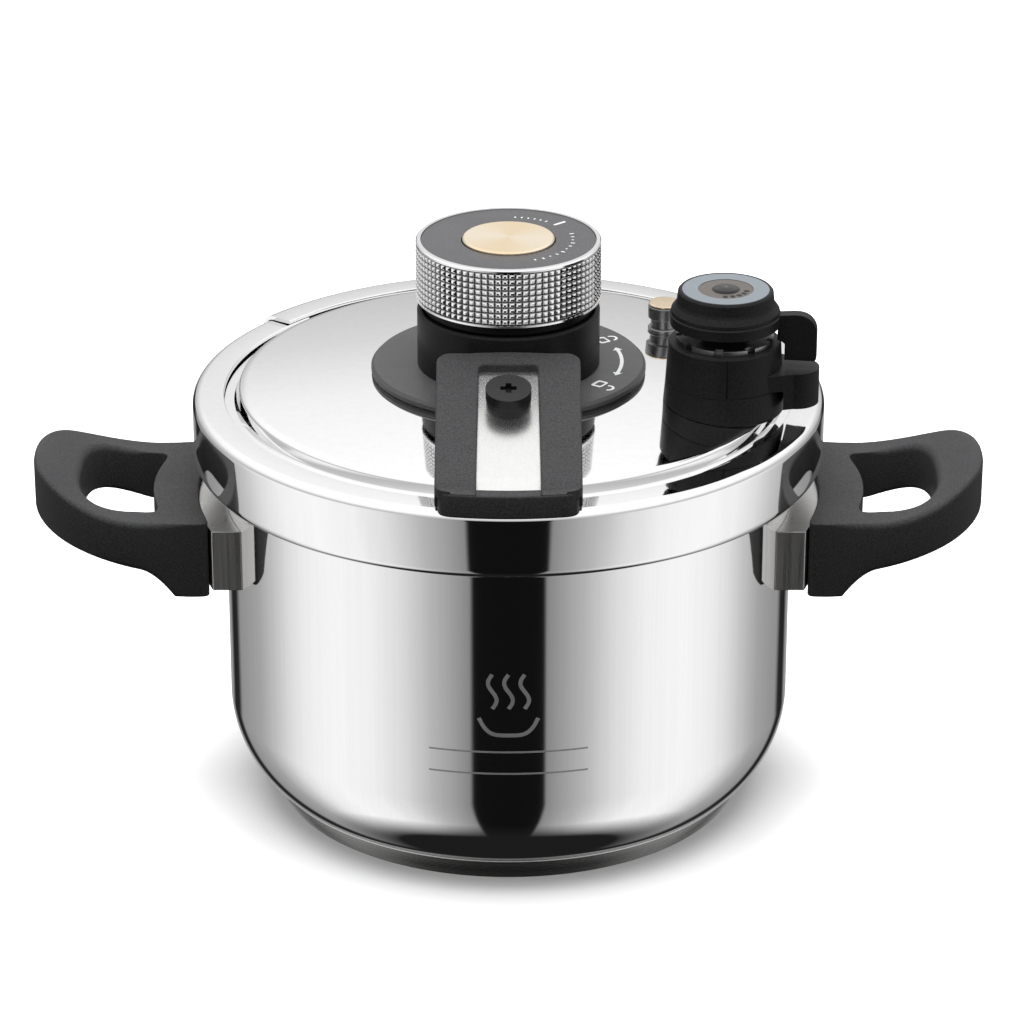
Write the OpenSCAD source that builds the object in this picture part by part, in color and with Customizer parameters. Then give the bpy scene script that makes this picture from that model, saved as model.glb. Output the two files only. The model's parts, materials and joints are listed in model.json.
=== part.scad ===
// Stovetop pressure cooker with a turn-knob jaw closure.
// The pot stands on the table at z = 0 with its axis on z, front towards -y, side handles on x.
// A knob on the lid turns a cam disc. The disc drives two steel jaws that slide apart along y,
// and the lid then lifts off. All lengths are in millimetres.

/* [Pot] */
// Outside diameter of the pot wall
pot_d = 220; // [200:1:280]
// Height of the pot's rim above the table
rim_z = 152; // [140:1:220]
// Thickness of the pot's steel wall
pot_wall = 1.2; // [0.8:0.1:1.6]
// Radius of the pot's large lower corner
corner_r = 44; // [38:1:48]
// How far the rim flange stands out from the pot wall
flange_w = 5.5; // [4.5:0.1:6.5]
// How far the flange's edge is turned down
flange_drop = 11; // [9:0.5:14]
// Height of the capsule base's steel cap
base_h = 9.8; // [9.2:0.1:12]
// How much the capsule base narrows from its top edge to the table
base_taper = 5.4; // [2:0.1:7]

/* [Lid] */
// Thickness of the lid's steel sheet
lid_t = 1.2; // [0.8:0.1:1.6]
// Free height of the sealing ring above the rim
gasket_h = 9.4; // [8:0.1:11]
// Height of the lid's raised plateau above its outer rim
step_h = 5.5; // [4:0.1:7]
// Rise of the plateau from its edge to its middle
dome_rise = 5.5; // [4:0.1:8]

/* [Jaws] */
// Thickness of the jaws' steel sheet
jaw_t = 1.5; // [1:0.1:2]
// Gap between the flange and the jaws' upright wall
jaw_gap = 4.8; // [4.5:0.1:7]
// Width of the jaws' flat top
jaw_top_w = 12.3; // [11:0.1:14]
// How far each jaw slides outwards
jaw_travel = 6; // [5:0.1:7]
// Reach of the catch lips under the flange
lip_catch = 3; // [2.5:0.1:3.5]
// Half angle of each catch lip about the front or back
lip_half = 45; // [30:1:48]
// Half angle of the back jaw
back_half = 53; // [50:1:56]
// Angle over which the back jaw laps over the front jaw's ends
jaw_lap = 6; // [4:1:8]
// Thickness of the steel arms
arm_t = 2; // [1.5:0.1:2.5]
// Width of the steel arms
arm_w = 28; // [24:1:34]
// Width of the moulded arm covers at the hub
cover_w = 56; // [50:1:60]

/* [Hub and knob] */
// Outside diameter of the fixed hub collar
collar_d = 70; // [66:1:84]
// Height of the hub collar
collar_h = 22.5; // [21:0.1:27]
// Diameter of the printed lock plate under the hub
plate_d = 105.6; // [96:0.1:112]
// Height of the lock plate's edge above the dome
plate_h = 3.8; // [3.2:0.1:5]
// Outside diameter of the knurled knob ring
knob_d = 71; // [66:1:86]
// Height of the knurled knob ring
knob_h = 23.5; // [22:0.1:28]
// Gap between the collar and the knurled ring
knob_gap = 3.9; // [2.5:0.1:6]
// Diameter of the release button
button_d = 35.2; // [30:0.1:38]
// How far the button is pressed
button_travel = 3; // [2:0.1:3.5]
// Diameter of the centre stud
stud_d = 10; // [8:0.5:11]
// How far the knob turns, in degrees
knob_turn = 90; // [80:1:90]

/* [Pressure valve] */
// Outside diameter of the selector knob
selector_d = 42.4; // [40:0.1:50]
// Height of the valve's moulded housing above the lid's rim
valve_h = 53; // [50:0.5:58]
// Angle of the valve about the pot's axis
valve_angle = -18.3; // [-30:0.1:0]
// Reach of the steam lug from the valve's axis
lug_reach = 36; // [34:0.5:40]
// Angle of the steam lug about the valve's axis
lug_angle = -8; // [-30:1:30]

/* [Pressure indicator] */
// Height of the indicator's barrel above the dome
indicator_h = 10.6; // [9:0.1:14]
// How far the indicator pin rises
indicator_travel = 3; // [2:0.1:3]
// Angle of the indicator about the pot's axis
indicator_angle = 37; // [15:0.1:40]

/* [Side handles] */
// Width of a handle along the pot
handle_w = 82; // [74:1:92]
// Reach of a handle from the pot wall
handle_reach = 74; // [66:1:86]
// Height of the handle's root block
root_h = 30.5; // [28:0.5:34]
// Thickness of the steel mounting bracket between pot and handle
bracket_w = 10.5; // [9:0.5:13]

/* [Hidden] */
$fn = 72;
eps = 0.01;
// clearance between a shaft and its hole
fit = 0.08;
// clearance between seated pieces of one body
seat = 0.05;
// clearance between pieces of different bodies
gap = 0.3;

pot_r = pot_d / 2;
floor_z = 8;
small_r = 14;
blend_a = 39.3;
corner_cz = floor_z + small_r + (corner_r - small_r) * sin(blend_a);
corner_cr = pot_r - corner_r;
small_cr = corner_cr + (corner_r - small_r) * cos(blend_a);
flange_r = pot_r + flange_w;
base_in_r = small_cr + small_r * sqrt(1 - pow((floor_z + small_r - base_h) / small_r, 2));
base_top_r = base_in_r + 0.6;
base_bot_r = base_top_r - base_taper;
base_t = 0.9;

lid_edge_r = flange_r - 0.3;
lid_rim_z = rim_z + gasket_h + lid_t;
plate_edge_z = lid_rim_z + step_h;
dome_z = plate_edge_z + dome_rise;

jaw_in_r = flange_r + jaw_gap;
jaw_r = jaw_in_r + jaw_t;
jaw_top_z = lid_rim_z + 0.7 + jaw_t;
jaw_low_z = rim_z - flange_drop - 1.2 - jaw_t;
top_in_r = jaw_r - jaw_top_w;
shoulder_r = 3.5;
heel_r = 4;
lip_r = flange_r - lip_catch;
lap = jaw_t + gap;
front_start = 90 + back_half - jaw_lap;
front_span = 360 - 2 * (back_half - jaw_lap);
// the front jaw's ends move inwards by this much when it slides out
end_in = jaw_travel * sin(90 - back_half + jaw_lap);
step_r = top_in_r - end_in - 0.5;
plateau_r = step_r - 1;

plate_z = dome_at(plate_d / 2) + plate_h;
collar_r = collar_d / 2;
collar_z = plate_z + collar_h;
collar_wall = 2.5;
arm_z = collar_z - 8;
arm_start = 9;
arm_bend = collar_r + 1;
arm_end = jaw_r - 2.8;
arm_knee = jaw_r - 14.8;
arm_slope = 0.25;
arm_knee_z = max(arm_z - arm_slope * (arm_knee - arm_bend), jaw_top_z + 6);
arm_fall = (arm_z - arm_knee_z) / (arm_knee - arm_bend);
cover_up = 3.5;
cover_down = 4.5;
cover_end = jaw_r + 1.8;
cover_end_w = cover_w - 0.6;
block_z = jaw_top_z + 8;
block_back = jaw_r - 8.5;
block_front = jaw_r + 2.2;
window_start = arm_bend + 7;
window_end = cover_end + 1;
screw_y = arm_bend + 28;
screw_r = 8.5;
screw_h = 8;
pin_y = 16;
pin_r = 2.5;

cam_z = arm_z + 0.7;
cam_h = 2.2;
cam_r = collar_r - collar_wall - 2;
knob_low_z = collar_z + knob_gap;
knob_top_z = knob_low_z + knob_h;
knob_r = knob_d / 2;
knob_wall = 2.5;
core_r = knob_r - knob_wall - 0.1;
neck_r = min(collar_r - collar_wall - 1.5, core_r - 1.9);
web_z = knob_low_z + 0.6;
web_h = 3;
face_z = knob_top_z - 2.2;
face_h = 1.8;
button_r = button_d / 2;
button_top = knob_top_z + 0.7;
button_low = knob_top_z - 3.3;
well_r = button_r - 1.1;
stud_r = stud_d / 2;
stop_z = web_z + web_h + 8;
stop_h = 2.2;
stop_r = 10.2;
hook_in = 8.2;
spring_r = well_r - 2.1;

valve_r = plateau_r - 18;
valve_x = valve_r * cos(valve_angle);
valve_y = valve_r * sin(valve_angle);
valve_top = lid_rim_z + valve_h;
selector_r = selector_d / 2;
housing_r = selector_r + 1.9;
band_r = selector_r + 0.1;
housing_low = lid_rim_z + 5.6;
band_z = housing_low + 11.4;
band_top = valve_top - 20.3;
selector_low = valve_top - 13.5;
valve_hole_r = 6;
spindle_r = 5;
inner_r = 16;
lug_top = band_top - 9.3;
lug_low = lug_top - 14;
piston_travel = 1.5;
piston_z = band_z - 1.3;
chamber_top = piston_z + 14;

indicator_r = plateau_r - 26.9;
ind_x = indicator_r * cos(indicator_angle);
ind_y = indicator_r * sin(indicator_angle);
ind_z = dome_at(indicator_r);
ind_top = ind_z + indicator_h;
ind_pin_r = 2.6;
ind_nut_z = ind_z - 4.1;

handle_top = rim_z - 27;
root_low = handle_top - root_h;
bracket_r = pot_r + bracket_w;
grip_x = pot_r + 27;
grip_end = pot_r + handle_reach;
hole_in = grip_x - 1.5;
hole_out = grip_end - 18;
hole_half = handle_w / 2 - 12;
bolt_z = handle_top - 15;
bolt_r = 2.5;

// height of the lid's outer surface at a distance r from the axis
function dome_at(r) = dome_z - dome_rise * pow(r / plateau_r, 2);
// height of the arms' top face at a distance y from the axis, along the slope
function arm_at(y) = arm_z - arm_fall * (y - arm_bend);
// points of an arc about c
function arc(c, r, a0, a1, n = 8) =
    [for (i = [0:n]) let (a = a0 + (a1 - a0) * i / n) [c[0] + r * cos(a), c[1] + r * sin(a)]];
// half of a rounded oblong, |x/a|^p + |y/b|^p = 1, from -90 to 90 degrees
function oblong(cx, a, b, p, a0, a1, n = 24) =
    [for (i = [0:n])
        let (t = a0 + (a1 - a0) * i / n)
        [cx + a * sign(cos(t)) * pow(abs(cos(t)), 2 / p), b * sign(sin(t)) * pow(abs(sin(t)), 2 / p)]];

module tube(r_out, r_in, z0, h) {
    translate([0, 0, z0])
        difference() {
            cylinder(r = r_out, h = h);
            translate([0, 0, -1]) cylinder(r = r_in, h = h + 2);
        }
}

module disc(r, z0, h) {
    translate([0, 0, z0]) cylinder(r = r, h = h);
}

module hex_nut(r, bore, z0, h) {
    difference() {
        translate([0, 0, z0]) cylinder(r = r, h = h, $fn = 6);
        disc(bore, z0 - 1, h + 2);
    }
}

// coil spring of round wire: rings of sides points swept along a helix, closed with flat ends
module coil(r, wire, z0, z1, turns) {
    steps = turns * 16;
    sides = 6;
    rise = z1 - z0 - 2 * wire;
    ring = [for (i = [0:steps], k = [0:sides - 1])
        let (a = 360 * turns * i / steps, b = 360 * k / sides, q = r + wire * cos(b))
        [q * cos(a), q * sin(a), z0 + wire + rise * i / steps + wire * sin(b)]];
    skin = [for (i = [0:steps - 1], k = [0:sides - 1])
        let (p = i * sides + k, q = i * sides + (k + 1) % sides)
        [p, q, q + sides, p + sides]];
    ends = [[for (k = [sides - 1:-1:0]) k], [for (k = [0:sides - 1]) steps * sides + k]];
    polyhedron(points = ring, faces = [for (f = concat(skin, ends)) [for (j = [len(f) - 1:-1:0]) f[j]]]);
}

// everything under the lid's outer surface, raised by up
module under_dome(up, reach) {
    rotate_extrude()
        polygon(concat([[0, rim_z]], [for (i = [0:12]) let (r = reach * i / 12) [r, dome_at(r) + up]],
            [[reach, rim_z]]));
}

// ---- pot ----

module pot_body() {
    bottom = arc([small_cr, floor_z + small_r], small_r, -90, -blend_a, 6);
    side = arc([corner_cr, corner_cz], corner_r, -blend_a, 0, 10);
    in_side = arc([corner_cr, corner_cz], corner_r - pot_wall, 0, -blend_a, 10);
    in_bottom = arc([small_cr, floor_z + small_r], small_r - pot_wall, -blend_a, -90, 6);
    edge_in = flange_r - pot_wall;
    rim = [
        [pot_r, rim_z - pot_wall], [edge_in, rim_z - pot_wall], [edge_in, rim_z - flange_drop],
        [flange_r, rim_z - flange_drop], [flange_r, rim_z - 1.5], [flange_r - 1.5, rim_z],
        [pot_r - pot_wall, rim_z]
    ];
    color("silver")
        rotate_extrude()
            polygon(concat([[0, floor_z]], bottom, side, rim, in_side, in_bottom,
                [[0, floor_z + pot_wall]]));
}

module base_core() {
    color("darkgray") disc(base_bot_r - 2, base_t + seat, floor_z - base_t - 2 * seat);
}

module base_cap() {
    color("silver")
        difference() {
            cylinder(r1 = base_bot_r, r2 = base_top_r, h = base_h);
            translate([0, 0, base_t])
                cylinder(r1 = base_bot_r - base_t, r2 = base_top_r - base_t + 0.4, h = base_h);
            pot_outside(seat);
        }
}

// the pot's lower outside, grown by g
module pot_outside(g) {
    bottom = arc([small_cr, floor_z + small_r], small_r + g, -90, -blend_a, 6);
    side = arc([corner_cr, corner_cz], corner_r + g, -blend_a, 0, 10);
    rotate_extrude()
        polygon(concat([[0, floor_z - g]], bottom, side, [[0, corner_cz]]));
}

module bracket_sector(r0, r1, half, z0, z1) {
    intersection() {
        difference() {
            disc(r1, z0, z1 - z0);
            disc(r0, z0 - 1, z1 - z0 + 2);
        }
        translate([0, -half, z0 - 1]) cube([r1 + 1, 2 * half, z1 - z0 + 2]);
    }
}

// pressed steel bracket, open towards the pot, with a threaded boss
module bracket() {
    half = handle_w / 2;
    low = root_low + 3;
    top = handle_top - 3;
    skin = 1.5;
    color("gainsboro")
        difference() {
            union() {
                difference() {
                    bracket_sector(pot_r + seat, bracket_r - seat, half, low, top);
                    bracket_sector(pot_r - 1, bracket_r - skin, half - skin, low + skin, top - skin);
                }
                intersection() {
                    translate([pot_r - 5, 0, bolt_z]) rotate([0, 90, 0]) cylinder(r = 6, h = 20);
                    bracket_sector(pot_r + seat, bracket_r - seat, half, low, top);
                }
            }
            translate([pot_r + 1.5, 0, bolt_z]) rotate([0, 90, 0]) cylinder(r = bolt_r + seat, h = 20);
        }
}

module handle() {
    half = handle_w / 2;
    centre = grip_x + 3;
    rise = [for (i = [0:6]) let (x = grip_x + (grip_end - 5.5 - grip_x) * i / 6)
        [x, handle_top + 0.0067 * pow(x - grip_x, 2)]];
    tip_z = handle_top + 0.0067 * pow(grip_end - 5.5 - grip_x, 2);
    under = [for (i = [6:-1:0]) let (x = grip_x + (grip_end - 8 - grip_x) * i / 6)
        [x, handle_top - 20.3 + 0.2 * (x - grip_x) + 0.0018 * pow(x - grip_x, 2)]];
    side = concat(
        [[pot_r, root_low], [pot_r, handle_top]], rise,
        [[grip_end - 2.4, tip_z - 4.4], [grip_end - 0.4, tip_z - 10], [grip_end, tip_z - 15],
         [grip_end - 1.6, tip_z - 19]],
        under,
        [[grip_x - 5.4, root_low + 7.5], [grip_x - 9.4, root_low]]);
    plan = concat([[pot_r - 10, -half]], oblong(centre, grip_end - centre, half, 3, -90, 90),
        [[pot_r - 10, half]]);
    opening = oblong((hole_in + hole_out) / 2, (hole_out - hole_in) / 2, hole_half, 4, 0, 360, 48);
    color("#2b2b2c")
        difference() {
            intersection() {
                translate([0, 0, root_low - 5]) linear_extrude(height = root_h + 40) polygon(plan);
                translate([0, half + 5, 0])
                    rotate([90, 0, 0]) linear_extrude(height = handle_w + 10) polygon(side);
            }
            disc(bracket_r, root_low - 10, root_h + 50);
            translate([0, 0, root_low - 10]) linear_extrude(height = root_h + 60) polygon(opening);
            translate([bracket_r - 5, 0, bolt_z])
                rotate([0, 90, 0]) cylinder(r = bolt_r + seat, h = 20);
            translate([hole_in - 4.5, 0, bolt_z]) rotate([0, 90, 0]) cylinder(r = 5.4, h = 12);
        }
}

module handle_screw() {
    head_x = hole_in - 4.5 + seat;
    shank = head_x - pot_r - 3;
    color("dimgray")
        translate([head_x, 0, bolt_z])
            rotate([0, 90, 0]) {
                difference() {
                    cylinder(r = 4.8, h = 3);
                    for (a = [0, 90]) {
                        rotate([0, 0, a]) translate([-2.4, -0.45, 1.4]) cube([4.8, 0.9, 2]);
                    }
                }
                translate([0, 0, -shank]) cylinder(r = bolt_r, h = shank);
            }
}

module left_bracket() { mirror([1, 0, 0]) bracket(); }
module right_bracket() { bracket(); }
module left_handle() { mirror([1, 0, 0]) handle(); }
module right_handle() { handle(); }
module left_handle_screw() { mirror([1, 0, 0]) handle_screw(); }
module right_handle_screw() { handle_screw(); }

// ---- lid ----

module at_valve() { translate([valve_x, valve_y, 0]) children(); }
module at_indicator() { translate([ind_x, ind_y, 0]) children(); }

module lid_shell() {
    edge = 1.6;
    bend = 1.8;
    top = [for (i = [0:12]) let (r = (plateau_r - edge) * i / 12) [r, dome_at(r)]];
    brow = arc([plateau_r - edge, plate_edge_z - edge], edge, 80, 10, 4);
    rim = arc([lid_edge_r - bend, lid_rim_z - bend], bend, 90, 0, 4);
    in_rim = arc([lid_edge_r - bend, lid_rim_z - bend], bend - lid_t, 0, 90, 4);
    in_top = [for (i = [12:-1:0]) let (r = (plateau_r - edge - 0.4) * i / 12) [r, dome_at(r) - lid_t]];
    low = rim_z + 1.2;
    color("silver")
        difference() {
            rotate_extrude()
                polygon(concat(top, brow, [[step_r, lid_rim_z + 0.8], [step_r + 0.8, lid_rim_z]],
                    rim, [[lid_edge_r, low], [lid_edge_r - lid_t, low]], in_rim,
                    [[step_r - lid_t + 0.4, lid_rim_z - lid_t]], in_top));
            disc(stud_r + seat, lid_rim_z, 20);
            at_valve() disc(valve_hole_r + seat, rim_z, 40);
            at_indicator() disc(ind_pin_r + 1.4, rim_z, 40);
        }
}

module lid_gasket() {
    r0 = pot_r - pot_wall + 0.1;
    r1 = lid_edge_r - lid_t - 0.3;
    z0 = rim_z + gap;
    z1 = lid_rim_z - lid_t - seat;
    color("lightgray")
        rotate_extrude()
            polygon([[r0, z0 + 1.5], [r0 + 1, z0], [r1 - 1, z0], [r1, z0 + 1], [r1, z1 - 0.8],
                [r1 - 0.8, z1], [r0 + 0.8, z1], [r0, z1 - 0.8], [r0, z0 + 5.6],
                [r1 - 2.2, z0 + 4.6], [r1 - 2.2, z0 + 3.4]]);
}

module lock_plate() {
    r = plate_d / 2;
    bevel = 1.2;
    foot = [for (i = [8:-1:0]) let (q = (r - bevel) * i / 8) [q, dome_at(q) + seat]];
    color("#4a4a4c")
        difference() {
            rotate_extrude()
                polygon(concat([[0, plate_z], [r - bevel, plate_z], [r, plate_z - bevel],
                    [r, dome_at(r) + bevel]], foot));
            disc(stud_r + seat, lid_rim_z, 30);
        }
}

module hub_base() {
    r = collar_r - collar_wall - 1;
    rib = arm_w / 2 + 0.4;
    color("#3a3a3c")
        difference() {
            disc(r, plate_z + seat, arm_z - arm_t - gap - plate_z - seat + arm_t + 0.6);
            translate([-rib, -r - 1, arm_z - arm_t - gap]) cube([2 * rib, 2 * r + 2, 20]);
            disc(stud_r + seat, lid_rim_z, 60);
        }
}

module hub_collar() {
    color("#1c1c1d")
        difference() {
            rotate_extrude()
                polygon([[collar_r - collar_wall, plate_z + seat], [collar_r, plate_z + seat],
                    [collar_r, collar_z - 0.8], [collar_r - 0.8, collar_z],
                    [collar_r - 1.6, collar_z], [collar_r - collar_wall, collar_z - 1.5]]);
            translate([-arm_w / 2 - 0.6, -collar_r - 1, arm_z - arm_t - 0.7])
                cube([arm_w + 1.2, 2 * collar_r + 2, arm_t + 1.5]);
        }
}

module centre_stud() {
    low = dome_z - lid_t - 7;
    color("lightsteelblue") {
        disc(stud_r, low, stop_z - low);
        disc(3, stop_z - eps, stop_h + 2.8);
    }
}

module stud_nut() {
    color("lightgray") hex_nut(8.5, stud_r + seat, dome_z - lid_t - 6, 5.6);
}

module knob_bush() {
    color("goldenrod") tube(7.8, stud_r + seat, web_z + web_h + gap, 8 - gap - seat);
}

// fixed plate whose two wide cut-outs stop the knob at both ends of its turn
module stop_plate() {
    swing = knob_turn + 36;
    color("silver")
        difference() {
            disc(stop_r, stop_z, stop_h);
            disc(3 + seat, stop_z - 1, stop_h + 2);
            for (a = [0, 180]) {
                rotate([0, 0, a - 18])
                    translate([0, 0, stop_z - 1])
                        rotate_extrude(angle = swing)
                            translate([hook_in - 0.3, 0]) square([stop_r, stop_h + 2]);
            }
        }
}

module top_nut() {
    color("lightgray") hex_nut(5, 3 + seat, stop_z + stop_h + seat, 2.6);
}

// ---- knob ----

// one spiral slot: the radius grows by the jaw travel while the angle falls by the knob's turn
module cam_slot(turned) {
    w = pin_r + 0.35;
    over = 13;
    n = 24;
    mid = [for (i = [0:n])
        let (t = -over + (knob_turn + 2 * over) * i / n, q = pin_y + jaw_travel * t / knob_turn)
        [q, turned - t]];
    outer = [for (p = mid) [(p[0] + w) * cos(p[1]), (p[0] + w) * sin(p[1])]];
    inner = [for (i = [n:-1:0]) let (p = mid[i]) [(p[0] - w) * cos(p[1]), (p[0] - w) * sin(p[1])]];
    polygon(concat(outer, inner));
}

module cam_disc() {
    color("silver")
        translate([0, 0, cam_z])
            difference() {
                cylinder(r = cam_r, h = cam_h);
                translate([0, 0, -1]) cylinder(r = stud_r + fit, h = cam_h + 2);
                for (a = [90, 270]) {
                    translate([0, 0, -1]) linear_extrude(height = cam_h + 2) cam_slot(a);
                }
            }
}

module knob_core() {
    low = cam_z + cam_h + seat;
    wide_r = min(core_r, collar_r) - 0.2;
    color("#242425")
        rotate_extrude()
            polygon([
                [stud_r + fit, web_z], [neck_r - 5, web_z], [neck_r - 5, low], [neck_r, low],
                [neck_r, collar_z + 0.6], [wide_r, collar_z + 0.6], [wide_r, web_z], [core_r, web_z],
                [core_r, face_z - seat],
                [core_r - 2.5, face_z - seat], [core_r - 2.5, web_z + web_h],
                [well_r + 3, web_z + web_h], [well_r + 3, face_z - seat],
                [button_r + 0.4, face_z - seat], [button_r + 0.4, button_low - button_travel - gap],
                [well_r, button_low - button_travel - gap], [well_r, web_z + web_h],
                [stud_r + fit, web_z + web_h]
            ]);
}

module knurled_ring() {
    inner = knob_r - knob_wall;
    bead = 1;
    color("gainsboro")
        rotate_extrude()
            polygon([
                [inner, knob_low_z], [knob_r - bead, knob_low_z], [knob_r, knob_low_z + bead],
                [knob_r, knob_top_z - bead], [knob_r - bead, knob_top_z],
                [knob_r - 2, knob_top_z], [knob_r - 2, face_z - seat], [inner, face_z - seat]
            ]);
}

module knob_face() {
    color("#5a5a5c") tube(knob_r - 2 - seat, button_r + 0.4, face_z, face_h);
}

module release_button() {
    leg = 2;
    half_leg = 2.5;
    hook_z = stop_z + 0.1;
    color("#e3c795") {
        rotate_extrude()
            polygon([[0, button_low + 1.5], [well_r - 5, button_low + 1.5], [well_r - 5, button_low],
                [button_r, button_low], [button_r, button_top - 0.6], [button_r - 0.6, button_top],
                [0, button_top]]);
        for (s = [-1, 1]) {
            translate([s * (stop_r + 0.4 + leg / 2) - leg / 2, -half_leg, hook_z])
                cube([leg, 2 * half_leg, button_low + 2 - hook_z]);
            translate([s > 0 ? hook_in : -stop_r - 0.4 - eps, -half_leg, hook_z])
                cube([stop_r + 0.4 + eps - hook_in, 2 * half_leg, stop_h - 0.2]);
        }
    }
}

module button_spring() {
    color("silver") coil(spring_r, 0.5, web_z + web_h + seat, button_low - seat, 5);
}

// ---- jaws ----

// section of a jaw: flat top, upright wall and turned-in heel; out is how far it lies outside
module jaw_section(out, with_heel) {
    r = jaw_r + out;
    z = jaw_top_z + out;
    sh = shoulder_r + out;
    top = arc([r - sh, z - sh], sh, 90, 0, 6);
    in_top = arc([r - sh, z - sh], sh - jaw_t, 0, 90, 6);
    heel = with_heel
        ? concat(arc([r - heel_r, jaw_low_z + heel_r], heel_r, 0, -90, 5),
            [[r - heel_r - 0.8, jaw_low_z], [r - heel_r - 0.8, jaw_low_z + jaw_t]],
            arc([r - heel_r, jaw_low_z + heel_r], heel_r - jaw_t, -90, 0, 5))
        : [[r, jaw_low_z], [r - jaw_t, jaw_low_z]];
    polygon(concat([[top_in_r, z - jaw_t], [top_in_r, z]], top, heel, in_top));
}

module jaw_lip(mid, reach) {
    rotate_extrude(angle = 2 * lip_half, start = mid - lip_half)
        translate([lip_r, jaw_low_z]) square([reach - lip_r, jaw_t]);
}

module front_jaw_ring() {
    color("silver")
        union() {
            rotate_extrude(angle = front_span, start = front_start) jaw_section(0, true);
            jaw_lip(270, jaw_r - heel_r);
        }
}

module back_jaw_ring() {
    color("silver")
        union() {
            rotate_extrude(angle = 2 * back_half, start = 90 - back_half) jaw_section(lap, false);
            jaw_lip(90, jaw_r + lap - eps);
        }
}

// side outline of an arm, from the hub to the foot on the ring; up raises the foot
function arm_outline(up) =
    let (foot = jaw_top_z + up, knee = arm_knee_z, k = arm_t)
    [[arm_start, arm_z], [arm_bend, arm_z], [arm_knee, knee], [arm_knee + 5, foot + k],
     [arm_end, foot + k], [arm_end, foot], [arm_knee + 3.2, foot], [arm_knee - 0.8, knee - k],
     [arm_bend - 0.3, arm_z - k], [arm_start, arm_z - k]];

// turns a side outline in y and z into a slab of width w, pointing to +y
module side_slab(outline, w) {
    rotate([90, 0, 90]) translate([0, 0, -w / 2]) linear_extrude(height = w) polygon(outline);
}

module arm(up) {
    color("gainsboro")
        difference() {
            side_slab(arm_outline(up), arm_w);
            translate([0, pin_y, arm_z - 10]) cylinder(r = pin_r + seat, h = 20);
            on_slope() translate([0, 0, -15]) cylinder(r = 2.6, h = 30);
        }
}

// frame of the arm screw: on the arm's sloping face, its axis square to it
module on_slope() {
    translate([0, screw_y, arm_at(screw_y)]) rotate([-atan(arm_fall), 0, 0]) children();
}

module cam_pin() {
    color("dimgray")
        translate([0, pin_y, arm_z - arm_t])
            cylinder(r = pin_r, h = cam_z + cam_h - gap - arm_z + arm_t);
}

module arm_screw() {
    color("#1b1b1c")
        on_slope()
            difference() {
                union() {
                    translate([0, 0, seat]) cylinder(r = screw_r - 0.2, h = 3.6);
                    translate([0, 0, 3.6]) cylinder(r = screw_r, h = screw_h - 3.6);
                    translate([0, 0, -arm_t - 3]) cylinder(r = 2.5, h = arm_t + 4);
                }
                for (a = [0, 90]) {
                    rotate([0, 0, a]) translate([-3, -1.1, screw_h - 2.5]) cube([6, 2.2, 4]);
                }
            }
}

// outline of a cover or end block in plan, with rounded front corners
module arm_plan(y0, y1, w0, w1, corner) {
    polygon(concat([[-w0 / 2, y0]], [[w0 / 2, y0]],
        arc([w1 / 2 - corner, y1 - corner], corner, 0, 90, 6),
        arc([corner - w1 / 2, y1 - corner], corner, 90, 180, 6)));
}

module arm_cover(up) {
    floor_y = jaw_r - 17;
    lift = plate_edge_z + 1.2;
    outline = [
        [arm_bend, arm_z + cover_up], [cover_end, max(arm_at(cover_end) + cover_up, block_z + 0.8)],
        [cover_end, block_z + 0.1], [block_back - 0.1, block_z + 0.1], [block_back - 0.1, lift],
        [floor_y, max(arm_at(floor_y) - cover_down, lift)], [arm_bend, arm_z - cover_down]
    ];
    slot = arm_outline(up);
    color("#29292a")
        difference() {
            intersection() {
                side_slab(outline, cover_w + 10);
                linear_extrude(height = 400) arm_plan(arm_bend, cover_end, cover_w, cover_end_w, 5.6);
            }
            translate([0, 0, -0.1]) side_slab(slot, arm_w + 0.2);
            translate([0, 0, 0.15]) side_slab(slot, arm_w + 0.2);
            linear_extrude(height = 400)
                polygon([[-arm_w / 2 + 3.5, window_start], [arm_w / 2 - 3.5, window_start],
                    [arm_w / 2 - 2.5, window_end], [2.5 - arm_w / 2, window_end]]);
        }
}

// moulded block over an arm's foot, hugging the ring's shoulder; up raises it to the back jaw
module end_block(up) {
    z0 = jaw_top_z - 0.9 + up;
    foot_top = jaw_top_z + up + arm_t;
    color("#232324")
        difference() {
            translate([0, 0, z0])
                linear_extrude(height = block_z - z0)
                    intersection() {
                        arm_plan(block_back, block_front + up, cover_end_w, cover_end_w, 6);
                        circle(r = block_front + up, $fn = 180);
                    }
            rotate_extrude() jaw_fill(up + 0.1);
            side_slab([[block_back - 1, z0 - 1], [arm_end + 0.2, z0 - 1],
                [arm_end + 0.2, foot_top + 0.15], [block_back - 1, foot_top + 0.15]], arm_w + 0.3);
        }
}

// the jaw's section filled to the axis, grown by out
module jaw_fill(out) {
    r = jaw_r + out;
    z = jaw_top_z + out;
    sh = shoulder_r + out;
    polygon(concat([[0, z - 15], [0, z]], arc([r - sh, z - sh], sh, 90, 0, 6), [[r, z - 15]]));
}

module to_front() { rotate([0, 0, 180]) children(); }

module front_arm() { to_front() arm(0); }
module front_cover() { to_front() arm_cover(0); }
module front_end_block() { to_front() end_block(0); }
module front_arm_screw() { to_front() arm_screw(); }
module front_cam_pin() { to_front() cam_pin(); }
module back_arm() { arm(lap); }
module back_cover() { arm_cover(lap); }
module back_end_block() { end_block(lap); }
module back_arm_screw() { arm_screw(); }
module back_cam_pin() { cam_pin(); }

// ---- pressure valve ----

module valve_stem() {
    low = lid_rim_z - 2;
    color("lightgray")
        at_valve()
            difference() {
                union() {
                    disc(valve_hole_r, low, piston_z - 4 - low);
                    disc(12, housing_low + 3, piston_z - 4 - housing_low - 3);
                }
                disc(1.6, low - 1, 40);
            }
}

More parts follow.
